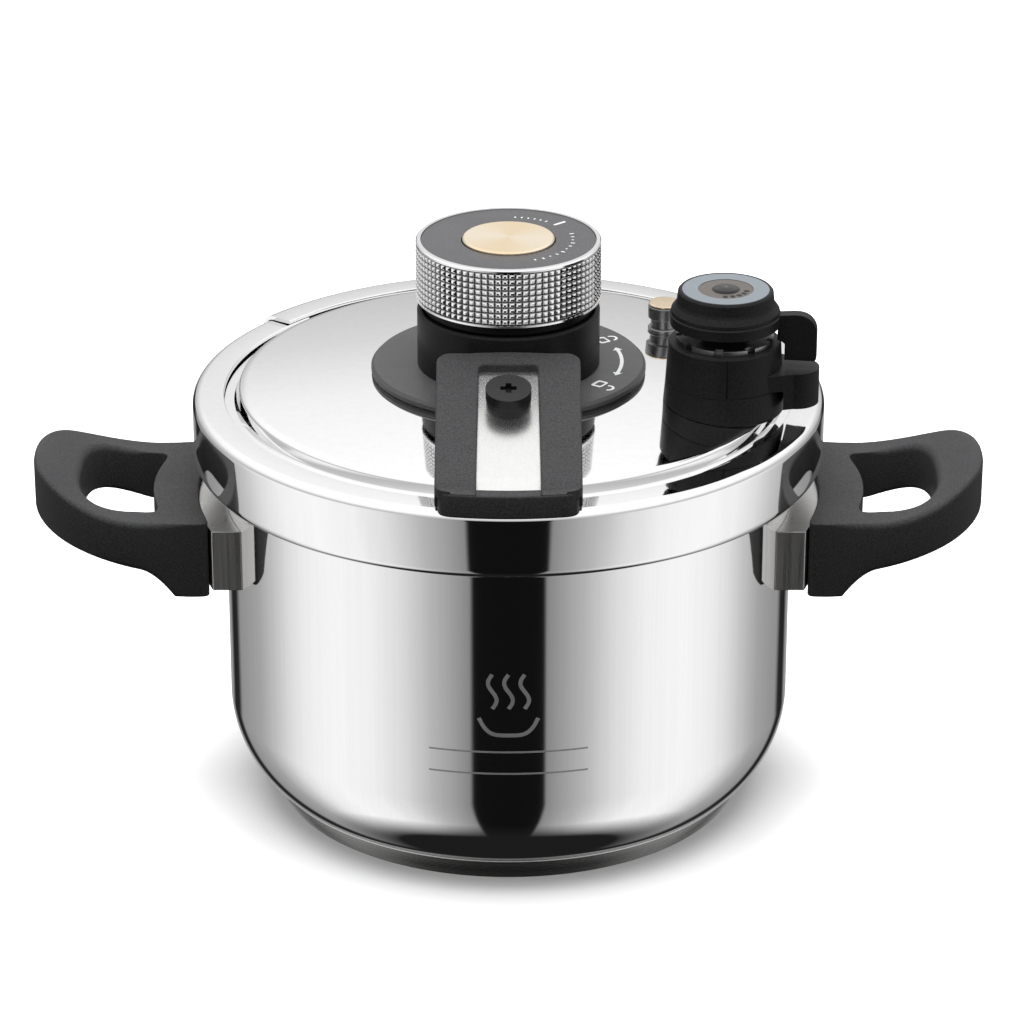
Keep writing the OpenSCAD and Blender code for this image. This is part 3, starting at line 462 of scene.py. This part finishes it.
def with_lip(o, mid, reach):
    """Adds the flat catch lip, 90 degrees long, to a jaw's mesh."""
    low, high = JAW_LOW, JAW_LOW + JAW_SHEET
    inner = FLANGE_R - 3
    lip = lathe("lip", np.array([[inner, low], [reach, low], [reach, high], [inner, high]]),
                o.data.materials[0], start=mid - 45, sweep=90, steps=60)
    bm = bmesh.new()
    bm.from_mesh(o.data)
    bm.from_mesh(lip.data)
    bm.to_mesh(o.data)
    bm.free()
    bpy.data.objects.remove(lip)
    return o


LAP = float(low_high("back_jaw_ring")[1][2] - JAW_HI[2])
front = lathe("front_jaw", jaw_outline(0, True), MATS["polished_steel"], start=137, sweep=266, steps=240)
stands_for(with_lip(front, 270, JAW_R - 4.6), "front_jaw_ring")
back = lathe("back_jaw", jaw_outline(LAP, False), MATS["polished_steel"], start=37, sweep=106, steps=96)
stands_for(with_lip(back, 90, JAW_R + LAP - 0.5), "back_jaw_ring")


# ------------------------------------------------------------------ frames: a band around a hole


def band(inner, outer, top, bottom, radius, flats=6, bends=5):
    """Grid of a band between two plan outlines: its section is a box from the inner to the outer outline
    and from the bottom to the top height function, with its four corners rounded by radius. Column j
    walks round the section."""
    width = np.linalg.norm(outer - inner, axis=1)[:, None]
    r = np.ones_like(width) * (radius[:, None] if isinstance(radius, np.ndarray) else radius)
    q = np.radians(np.linspace(0, 90, bends + 1))[None]
    mid = np.linspace(0, 1, flats + 1)[None, 1:-1]
    s, c = np.sin(q), np.cos(q)
    w = np.concatenate([width - r + r * s[:, ::-1], width - r - (width - 2 * r) * mid, r - r * s], axis=1)
    up = np.concatenate([r - r * c[:, ::-1], 0 * width * mid, r - r * c], axis=1)
    pos_t = inner[:, None] + (outer - inner)[:, None] * (w / width)[..., None]
    zt = top(pos_t[..., 0], pos_t[..., 1]) - up
    w2 = w[:, ::-1]
    pos_b = inner[:, None] + (outer - inner)[:, None] * (w2 / width)[..., None]
    zb = bottom(pos_b[..., 0], pos_b[..., 1]) + up[:, ::-1]
    return np.concatenate([np.dstack([pos_t, zt]), np.dstack([pos_b, zb])], axis=1)


def loop_superellipse(cx, a, b, p, t):
    """Plan outline |x/a|^p + |y/b|^p = 1 about (cx, 0)."""
    c, s = np.cos(t), np.sin(t)
    return np.stack([cx + a * np.sign(c) * np.abs(c) ** (2 / p), b * np.sign(s) * np.abs(s) ** (2 / p)], -1)


H_LO, H_HI = low_high("right_handle")
END_X, H_TOP, H_LOW, HALF = float(H_HI[0]), RIM_Z - 27, float(H_LO[2]), float(H_HI[1])
GRIP_X = R + 27
GUARD_R = R + 10.55


def handle_grid():
    """Band round the finger hole. Outside: a rounded outline that meets the steel guard's arc at the
    root. Top: level to the grip, then rising with the square of the distance. Underside: the deep root
    block, then a smooth step up to the thinner grip."""
    share = np.linspace(0, 0.5 ** (1 / 18), 41)
    quarter = np.concatenate([np.arccos(-share ** 9), math.pi - np.arcsin(share[:-1][::-1] ** 9)])
    out = np.linspace(0, math.pi / 2, 61)[:-1]
    half_turn = np.concatenate([out, quarter])
    t = np.concatenate([half_turn, (TAU - half_turn[1:-1])[::-1]])
    root = (np.cos(t) < 0)[:, None]
    inner = np.where(root, loop_superellipse(GRIP_X + 13.75, 17.75, 29, 9, t),
                     loop_superellipse(GRIP_X + 13.75, 15.25, 29, 2.8, t))
    outer = loop_superellipse(GRIP_X + 3, END_X - GRIP_X - 3, HALF, 2.4, t)
    y = HALF * np.sign(np.sin(t)) * np.abs(np.sin(t)) ** (1 / 9)
    edge = np.sqrt(GUARD_R ** 2 - y ** 2)
    x = GRIP_X + 3 - np.abs(np.cos(t)) ** (1 / 9) * (GRIP_X + 3 - edge)
    outer = np.where(root, np.stack([x, y], -1), outer)
    bulge = 5.1 * np.clip(1 - (inner[:, 1] / 29) ** 2, 0, 1) * np.clip((GRIP_X + 8 - inner[:, 0]) / 8, 0, 1)
    inner[:, 0] += bulge
    soft = 0.6 + 1.9 * np.clip((outer[:, 0] - GUARD_R - 2) / 8, 0, 1)

    def top(x, y):
        return H_TOP + 0.0079 * np.maximum(x - GRIP_X, 0) ** 2 - 0.02 * np.maximum(x - END_X + 12, 0) ** 2

    def bottom(x, y):
        s = np.clip((x - (R + 18)) / 13, 0, 1)
        g = x - GRIP_X
        return H_LOW + (H_TOP - 20.3 - H_LOW + 0.2 * g + 0.0018 * g ** 2) * s * (2 - s)

    return band(inner, outer, top, bottom, soft, 22)


grid = handle_grid()
for side, sign in (("right", 1), ("left", -1)):
    flipped = grid * np.array([sign, 1, 1])
    stands_for(skin(f"{side}_grip", flipped, True, True, MATS["handle_plastic"], 50), f"{side}_handle")

COVER_IN = float(-low_high("front_cover")[1][1])
COVER_END = float(-low_high("front_cover")[0][1])
COVER_TOP = float(low_high("front_cover")[1][2])
COVER_FALL = 0.25
ARM_Z = COVER_TOP - 3.5


def cover_grid():
    """Open band up one rail, across behind the knob's neck and down the other rail. Its top falls a
    quarter millimetre per millimetre, creases down towards the front corners and has a shallow hood over
    the window's inner end."""
    n = 24
    y_in, y_out = COVER_IN + 9.2, COVER_IN + 5

    def leg(width, flare, y0, front_r):
        a = np.radians(np.linspace(90, 0, n))
        y = np.concatenate([COVER_END - 5.6 * (1 - np.sin(a)), np.linspace(COVER_END - 5.6, y0, 40)[1:]])
        x = width + flare * (y - COVER_IN)
        x[:n] -= front_r * (1 - np.cos(a))
        return np.stack([x, y], -1)

    def corner(width, flare, y0, r):
        a = np.radians(np.linspace(0, 90, 19))[1:]
        return np.stack([width + flare * (y0 - COVER_IN) - r + r * np.cos(a), y0 - r * np.sin(a)], -1)

    def mirrored(half):
        across = np.stack([np.linspace(half[-1, 0], 0, 16)[1:-1], np.full(14, half[-1, 1])], -1)
        right = np.concatenate([half, across])
        return np.concatenate([right, [[0, half[-1, 1]]], right[::-1] * [-1, 1]])

    inner = mirrored(np.concatenate([leg(11.0, 0.009, y_in, 0), corner(11.0, 0.009, y_in, 1.8)]))
    outer = mirrored(np.concatenate([leg(27.0, -0.003, y_out, 5.6), corner(27.0, -0.003, y_out, 5)]))

    def top(x, y):
        crease = np.maximum(y - (COVER_END - 9 - 0.05 * (28 - np.abs(x)) ** 1.6), 0)
        hood = 0.6 * np.clip(1 - np.abs(x) / 14, 0, 1) ** 0.6 * np.clip((COVER_IN + 8 - y) / 4, 0, 1)
        return COVER_TOP - COVER_FALL * (y - COVER_IN) - 0.16 * crease + hood - 0.6

    def bottom(x, y):
        over_jaw = np.clip((y - JAW_R + 16) / 0.3, 0, 1)
        on_block = np.clip((y - BLOCK_IN + 0.1) / 0.3, 0, 1)
        floor = (EDGE_Z + 1.25) * (1 - over_jaw) + (JAW_Z + 0.9) * over_jaw
        below_arm = ARM_Z - 4.4 - COVER_FALL * (y - COVER_IN)
        return np.maximum(below_arm, floor) * (1 - on_block) + (BLOCK_Z + 0.1) * on_block

    grid = band(inner, outer, top, bottom, 0.8, 6, 3)
    x, y = grid[..., 0], grid[..., 1]
    bow = COVER_END - np.sqrt(COVER_END ** 2 - x ** 2)
    grid[..., 1] = y - bow * np.clip((y - COVER_END + 12) / 12, 0, 1)
    return grid


BLOCK_Z = float(low_high("front_end_block")[1][2])
BLOCK_OUT = float(-low_high("front_end_block")[0][1])
BLOCK_IN = BLOCK_OUT - 5.5


def block_grid(up):
    """Block on the jaw's shoulder, swept about the main axis: its outside is drawn in by a quarter circle
    at both ends, and its underside follows the shoulder's arc a tenth of a millimetre off."""
    half, bend = 26.7, 5.6
    ease = bend * (1 - np.cos(np.linspace(0, 1, 13) * math.pi / 2))
    straight = np.linspace(-half + bend, half - bend, 21)[1:-1]
    turn = np.concatenate([ease - half, straight, half - ease[::-1]])
    a = np.arcsin(turn / BLOCK_OUT)
    share = np.clip(np.abs(turn) - half + bend, 0, bend) / bend
    drawn = bend * (1 - np.sqrt(np.clip(1 - share ** 2, 0, 1)))
    out = BLOCK_OUT + up - drawn
    low, z = JAW_Z + up - 0.9, BLOCK_Z
    sh = 3.6 + up
    curve = arc(JAW_R + up + 0.1 - sh, JAW_Z + up + 0.1 - sh, sh, 90, 44, 8)
    curve = curve[curve[:, 1] > low]
    r_in = np.minimum(BLOCK_IN, out - 0.05)[:, None]
    tail = np.maximum(np.minimum(curve[:, 0][None], out[:, None] - 0.02), r_in)
    foot = np.concatenate([tail, np.maximum(out[:, None] - 0.3, r_in), out[:, None]], axis=1)
    foot_z = np.concatenate([curve[:, 1], [low, low + 0.3]])[None] + 0 * foot
    q = np.radians([0, 30, 60, 90])[None]
    head = np.maximum(out[:, None] - 0.8 + 0.8 * np.cos(q), r_in)
    head_z = z - 0.8 + 0.8 * np.sin(q) + 0 * head
    r = np.concatenate([r_in, foot, head, r_in], axis=1)
    h = np.concatenate([0 * r_in + JAW_Z + up + 0.1, foot_z, head_z, 0 * r_in + z], axis=1)
    return np.stack([r * np.sin(a)[:, None], r * np.cos(a)[:, None], h], -1)


cover = cover_grid()
for side, sign, up in (("front", -1, 0), ("back", 1, LAP)):
    flip = np.array([1, sign, 1])
    shell = skin(f"{side}_cover_shell", cover * flip, False, True, MATS["handle_plastic"], 34, True)
    stands_for(shell, f"{side}_cover")
    block = skin(f"{side}_block", block_grid(up) * flip, False, True, MATS["handle_plastic"], 40, True)
    stands_for(block, f"{side}_end_block")

# ------------------------------------------------------------------ knob

K_LO, K_HI = low_high("knurled_ring")
KNOB_R, KNOB_LOW, KNOB_TOP = float(K_HI[0]), float(K_LO[2]), float(K_HI[2])


def knurl_grid(columns=84, rows=9):
    """Turned ring whose outside carries columns x rows square studs: height = 0.75 mm x the smaller of
    the two flattened triangle waves across a cell, so narrow grooves part flat-topped pyramids. Plain
    bands stay above and below."""
    z0, z1 = KNOB_LOW + 1.5, KNOB_TOP - 1.5
    n = 6
    zz = np.linspace(z0, z1, rows * n + 1)
    a = TAU * np.arange(columns * n) / (columns * n)
    edge = KNOB_R - 0.8
    u = 1 - np.abs((np.arange(columns * n) % n) / n * 2 - 1)
    v = 1 - np.abs((np.arange(rows * n + 1) % n) / n * 2 - 1)
    lift = 0.75 * np.minimum(np.minimum(u[:, None], v[None]) * 1.5, 1)
    below = [[KNOB_R - 2.5, KNOB_LOW], [KNOB_R - 0.9, KNOB_LOW], [KNOB_R - 0.1, KNOB_LOW + 0.5],
             [KNOB_R - 0.1, z0 - 0.3]]
    above = [[KNOB_R - 0.1, z1 + 0.3], [KNOB_R - 0.1, KNOB_TOP - 0.5], [KNOB_R - 0.6, KNOB_TOP],
             [KNOB_R - 2, KNOB_TOP], [KNOB_R - 2.05, KNOB_TOP - 2.2], [KNOB_R - 2.5, KNOB_TOP - 2.2]]
    outline = np.concatenate([below, np.stack([0 * zz + edge, zz], -1), above])
    r = outline[:, 0] + 0 * a[:, None]
    r[:, len(below):len(below) + len(zz)] += lift
    return np.stack([r * np.cos(a)[:, None], r * np.sin(a)[:, None], outline[:, 1] + 0 * r], -1)


stands_for(skin("knob_ring", knurl_grid(), True, True, MATS["knurl_chrome"], 20), "knurled_ring")

FACE_Z = float(low_high("knob_face")[1][2])
BUTTON_R = float(low_high("release_button")[1][0])
face = path([(BUTTON_R + 0.4, FACE_Z - 1.8), (KNOB_R - 2.05, FACE_Z - 1.8), (KNOB_R - 2.05, FACE_Z, 0.3),
             (BUTTON_R + 0.4, FACE_Z, 0.3)], 3)
stands_for(lathe("knob_face_disc", face, MATS["face_grey"]), "knob_face")

# ------------------------------------------------------------------ springs


def coil(node, turns, wire):
    """Round wire wound along a helix between the node's ends."""
    lo, hi = low_high(node)
    mid, r = (lo + hi) / 2, (hi[0] - lo[0]) / 2 - wire
    a = np.linspace(0, TAU * turns, int(turns * 28))
    q = np.radians(np.arange(0, 360, 36))[None]
    out = r + wire * np.cos(q) + 0 * a[:, None]
    z = np.linspace(lo[2] + wire, hi[2] - wire, len(a))[:, None] + wire * np.sin(q)
    pts = np.stack([mid[0] + out * np.cos(a)[:, None], mid[1] + out * np.sin(a)[:, None], z], -1)
    o = stands_for(skin(f"{node}_coil", pts, False, True, MATS["small_steel"], 50, True), node)
    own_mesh(o)


coil("button_spring", 5, 0.45)
coil("valve_spring", 5, 0.4)

# ------------------------------------------------------------------ printing


PRINT = 0.06


def flat_arc(name, cx, cy, z, r0, r1, a0, a1, material, steps=24, thick=PRINT):
    """Thin printed arc between two radii."""
    box = np.array([[r0, z], [r1, z], [r1, z + thick], [r0, z + thick]])
    return lathe(name, box, material, cx, cy, a0, a1 - a0, steps)


def flat_shape(name, outline, z, material, thick=PRINT):
    """Thin printed shape with the given plan outline."""
    ring = np.concatenate([outline, 0 * outline[:, :1] + z], axis=1)
    lifted = ring + np.array([0, 0, thick])
    return skin(name, np.stack([ring, lifted]), False, True, material, 30, True)


def about(outline, r, angle, spin=0.0):
    """Moves a small outline to radius r and angle in degrees about the main axis, turned to face
    outwards."""
    a = math.radians(angle + spin)
    turn = np.array([[math.cos(a), math.sin(a)], [-math.sin(a), math.cos(a)]])
    b = math.radians(angle)
    return outline @ turn + r * np.array([math.cos(b), math.sin(b)])


pz = PLATE_Z + 0.01
extra(flat_arc("mark_arrow", 0, 0, pz, 42.9, 44.3, -17, 14, WHITE_INK), "lid")
tip = np.array([[0, -1.9], [3.0, 0], [0, 1.9]])
extra(flat_shape("mark_tip_a", about(tip, 43.6, 14, 90), pz, WHITE_INK), "lid")
extra(flat_shape("mark_tip_b", about(tip, 43.6, -17, -90), pz, WHITE_INK), "lid")
for label, angle, bow_at, spin in (("shut", 30, (4.2, 0), 0), ("open", -35, (5.0, -1.6), 25)):
    body = path([(-2.6, -3.0, 1.0), (2.0, -3.0, 1.0), (2.0, 3.0, 1.0), (-2.6, 3.0, 1.0)], 4)
    hole = body * 0.6
    ring = np.stack([np.concatenate([about(b, 42.5, angle), 0 * b[:, :1] + h], axis=1)
                     for b, h in ((body, pz), (body, pz + PRINT), (hole, pz + PRINT), (hole, pz))])
    extra(skin(f"mark_lock_{label}", ring, True, True, WHITE_INK), "lid")
    c = about(np.array([bow_at]), 42.0, angle)[0]
    extra(flat_arc(f"mark_bow_{label}", c[0], c[1], pz, 1.6, 2.6, angle - 95 + spin, angle + 95 + spin,
                   WHITE_INK), "lid")
fz = FACE_Z + 0.01
bar = np.array([[23.5, -0.6], [29.3, -0.6], [29.3, 0.6], [23.5, 0.6]])
extra(flat_shape("face_pointer", about(bar, 0, 42), fz, WHITE_INK), "knob")
for k in range(11):
    end = 25.6 - (k % 3) * 0.4
    tick = np.array([[24, -0.35], [end, -0.35], [end, 0.35], [24, 0.35]])
    extra(flat_shape(f"face_tick_{k}", about(tick, 0, 14 - 8 * k), fz, WHITE_INK), "knob")
for k in range(6):
    tick = np.array([[24, -0.3], [25.3, -0.3], [25.3, 0.3], [24, 0.3]])
    extra(flat_shape(f"face_mark_{k}", about(tick, 0, 54 + 6 * k), fz, WHITE_INK), "knob")

V_LO, V_HI = low_high("selector_ring")
VX, VY = float(V_LO[0] + V_HI[0]) / 2, float(V_LO[1] + V_HI[1]) / 2
VZ = float(low_high("selector_knob")[1][2])
for k in range(5):
    a = -94 + 20 * k
    spot = path([(7.0, -0.95, 0.4), (9.0, -0.8, 0.4), (9.0, 0.8, 0.4), (7.0, 0.95, 0.4)], 3)
    moved = about(spot, 0, a) + np.array([VX, VY])
    extra(flat_shape(f"valve_mark_{k}", moved, VZ - 0.19, BLACK_INK), "selector")
hollow = path([(0, VZ - 0.15), (5.3, VZ - 0.15), (4.5, VZ + 0.5, 1.0), (2, VZ + 0.95, 2.0), (0, VZ + 0.98)], 4)
extra(lathe("valve_dimple", hollow, DIMPLE, VX, VY, steps=64), "selector")

ETCHED = steel("etched_mark_steel", "#a9a9a9", 0.45, 0.1, (900.0, 900.0, 900.0), bump=0.02)


def etched(name, middle, width):
    """Ribbon along a line of (x, z) points laid on the pot's front wall, standing 0.04 mm proud of it."""
    step = np.gradient(middle, axis=0)
    side = np.stack([-step[:, 1], step[:, 0]], -1) / np.linalg.norm(step, axis=1)[:, None] * width / 2
    ring = []
    for offset, r in ((-side, R), (side, R), (side, R + 0.04), (-side, R + 0.04)):
        p = middle + offset
        ring.append(np.stack([r * np.sin(p[:, 0] / R), -r * np.cos(p[:, 0] / R), p[:, 1]], -1))
    return extra(skin(name, np.stack(ring, 1), False, True, ETCHED, 30, True), "pot")


for k in range(3):
    rise = np.linspace(0, 1, 25)
    etched(f"etched_steam_{k}", np.stack([6 * (k - 1) + 1.6 * np.sin(TAU * rise), 81 + 14 * rise], -1), 1.5)
across = np.linspace(-1, 1, 25)
etched("etched_bowl", np.stack([11 * across, 77 - 7 * (1 - across ** 4)], -1), 1.5)
for k, z in enumerate((63, 54)):
    etched(f"etched_rule_{k}", np.stack([30 * across, z + 0 * across], -1), 0.7)

# ------------------------------------------------------------------ table, light and camera


def floor_piece():
    """White table top, 12 m square, with painted light and shadow: it glows by its distance from the pot's
    axis, none within 94 mm and full from 138 mm, so only a tight painted soft shadow shows round the pot;
    polished steel doesn't mirror it, it mirrors the tent."""
    m, t = new_tree("white_table_painted_shadow")
    spot = (add(t, "TexCoord"), "Object")
    mottle = add(t, "TexNoise", {"Vector": spot, "Scale": 3.0, "Detail": 2.0, "Roughness": 0.6})
    tone = add(t, "MixRGB", {"Fac": mottle, "Color1": (0.78, 0.78, 0.78, 1), "Color2": (0.79, 0.79, 0.79, 1)})
    radius = from_axis(t, add(t, "SeparateXYZ", {"Vector": spot}))
    # Painted light and shadow: the table's glow rises from 0 at 94 mm to 0.55 at 138 mm off the pot's axis,
    # painting the pot's tight shadow.
    lift = add(t, "MapRange", {"Value": radius, **ends(0.0, 0.55, 0.094, 0.138)})
    matte = add(t, "BsdfDiffuse", {"Color": tone})
    painted_glow = add(t, "Emission", {"Color": (1, 1, 1, 1), "Strength": lift})
    both = add(t, "AddShader", {0: matte, 1: painted_glow})
    finish_surface(m, t, both)
    far = 6000.0
    pts = np.array([[[-far, -far, 0], [-far, far, 0]], [[far, -far, 0], [far, far, 0]]])
    o = skin("table_top", pts, False, False, m)
    o.visible_glossy = False
    o.visible_diffuse = False
    return o


floor_piece()


def colour_stops(ramp, stops):
    """Sets a colour ramp's stops, each a place from 0 to 1 and a hex code."""
    e = ramp.color_ramp.elements
    while len(e) < len(stops):
        e.new(0.5)
    for stop, (place, code) in zip(e, stops):
        stop.position = place
        stop.color = lin(code)


def tent():
    """A white light tent as the world. Below the horizon the light depends on the angle from the front: a
    dark slit in front, then rising to bright side walls, dimmer behind with a narrow dark seam, and dark
    straight down. Above it, light grows with height. Diffuse light from high up is dimmed, so matte black
    stays dark."""
    w = bpy.data.worlds.new("tent")
    bpy.context.scene.world = w
    w.use_nodes = True
    t = w.node_tree
    t.nodes.clear()
    xyz = add(t, "SeparateXYZ", {"Vector": (add(t, "TexCoord"), "Generated")})
    forward = add(t, "Math", {0: (xyz, 1), 1: -1.0}, operation="MULTIPLY")
    signed = add(t, "Math", {0: (xyz, 0), 1: forward}, operation="ARCTAN2")
    azimuth = add(t, "Math", {0: signed}, operation="ABSOLUTE")
    share = add(t, "Math", {0: azimuth, 1: math.pi}, operation="DIVIDE")
    walls = add(t, "ValToRGB", {"Fac": share})
    by_degree = [(0, "#0f0f0f"), (14.4, "#101010"), (15.4, "#868686"), (31, "#b5b5b5"), (44, "#dcdcdc"),
                 (57, "#f1f1f1"), (75, "#f8f8f8"), (90, "#efefef"), (100, "#dedede"), (110, "#c2c2c2"),
                 (123, "#a2a2a2"), (136, "#949494"), (144, "#8e8e8e"), (149, "#262626"), (157, "#202020"),
                 (163, "#909090"), (180, "#b0b0b0")]
    colour_stops(walls, [(degree / 180, code) for degree, code in by_degree])
    roof = add(t, "ValToRGB", {"Fac": (xyz, 2)})
    colour_stops(roof, [(0.0, "#b4b4b4"), (0.18, "#c4c4c4"), (0.30, "#d6d6d6"), (0.42, "#f2f2f2"),
                        (0.55, "#ffffff"), (1.0, "#ffffff")])
    above = add(t, "MapRange", {"Value": (xyz, 2), **ends(0.0, 1.0, -0.02, 0.06)})
    steep = add(t, "MapRange", {"Value": (xyz, 2), **ends(0.0, 1.0, -0.80, -0.93)})
    low = add(t, "MixRGB", {"Fac": steep, "Color1": walls, "Color2": lin("#1c1c1c")})
    mix = add(t, "MixRGB", {"Fac": above, "Color1": low, "Color2": roof})
    high = add(t, "MapRange", {"Value": (xyz, 2), **ends(0.97, 0.0, 0.25, 0.75)})
    dim = add(t, "Math", {0: (add(t, "LightPath"), "Is Diffuse Ray"), 1: high}, operation="MULTIPLY")
    seen = add(t, "MixRGB", {"Fac": dim, "Color1": mix, "Color2": (0, 0, 0, 1)})
    background = add(t, "Background", {"Color": seen, "Strength": 1.12})
    add(t, "OutputWorld", {"Surface": background})


tent()


def lamp(name, x, y, z, size, power, aim=(0, 0, 0.1)):
    """A square soft light that faces aim."""
    data = bpy.data.lights.new(name, "AREA")
    data.size = size
    data.energy = power
    o = bpy.data.objects.new(name, data)
    bpy.context.scene.collection.objects.link(o)
    o.location = (x, y, z)
    o.rotation_euler = (Vector(aim) - o.location).to_track_quat("-Z", "Y").to_euler()
    return o


key = lamp("top_softbox", 0.0, 0.1, 1.7, 1.6, 36.0)
key.visible_glossy = False

camera = bpy.data.objects.new("camera", bpy.data.cameras.new("camera"))
bpy.context.scene.collection.objects.link(camera)
camera.location = (0, -1.5099, 0.7775)
camera.rotation_euler = (Vector((0, 0, 0.1122)) - camera.location).to_track_quat("-Z", "Y").to_euler()
camera.data.lens = 148.4
camera.data.sensor_width = 36
camera.data.clip_start = 0.05
camera.data.clip_end = 60
bpy.context.scene.camera = camera
bpy.context.scene.view_settings.view_transform = "Standard"
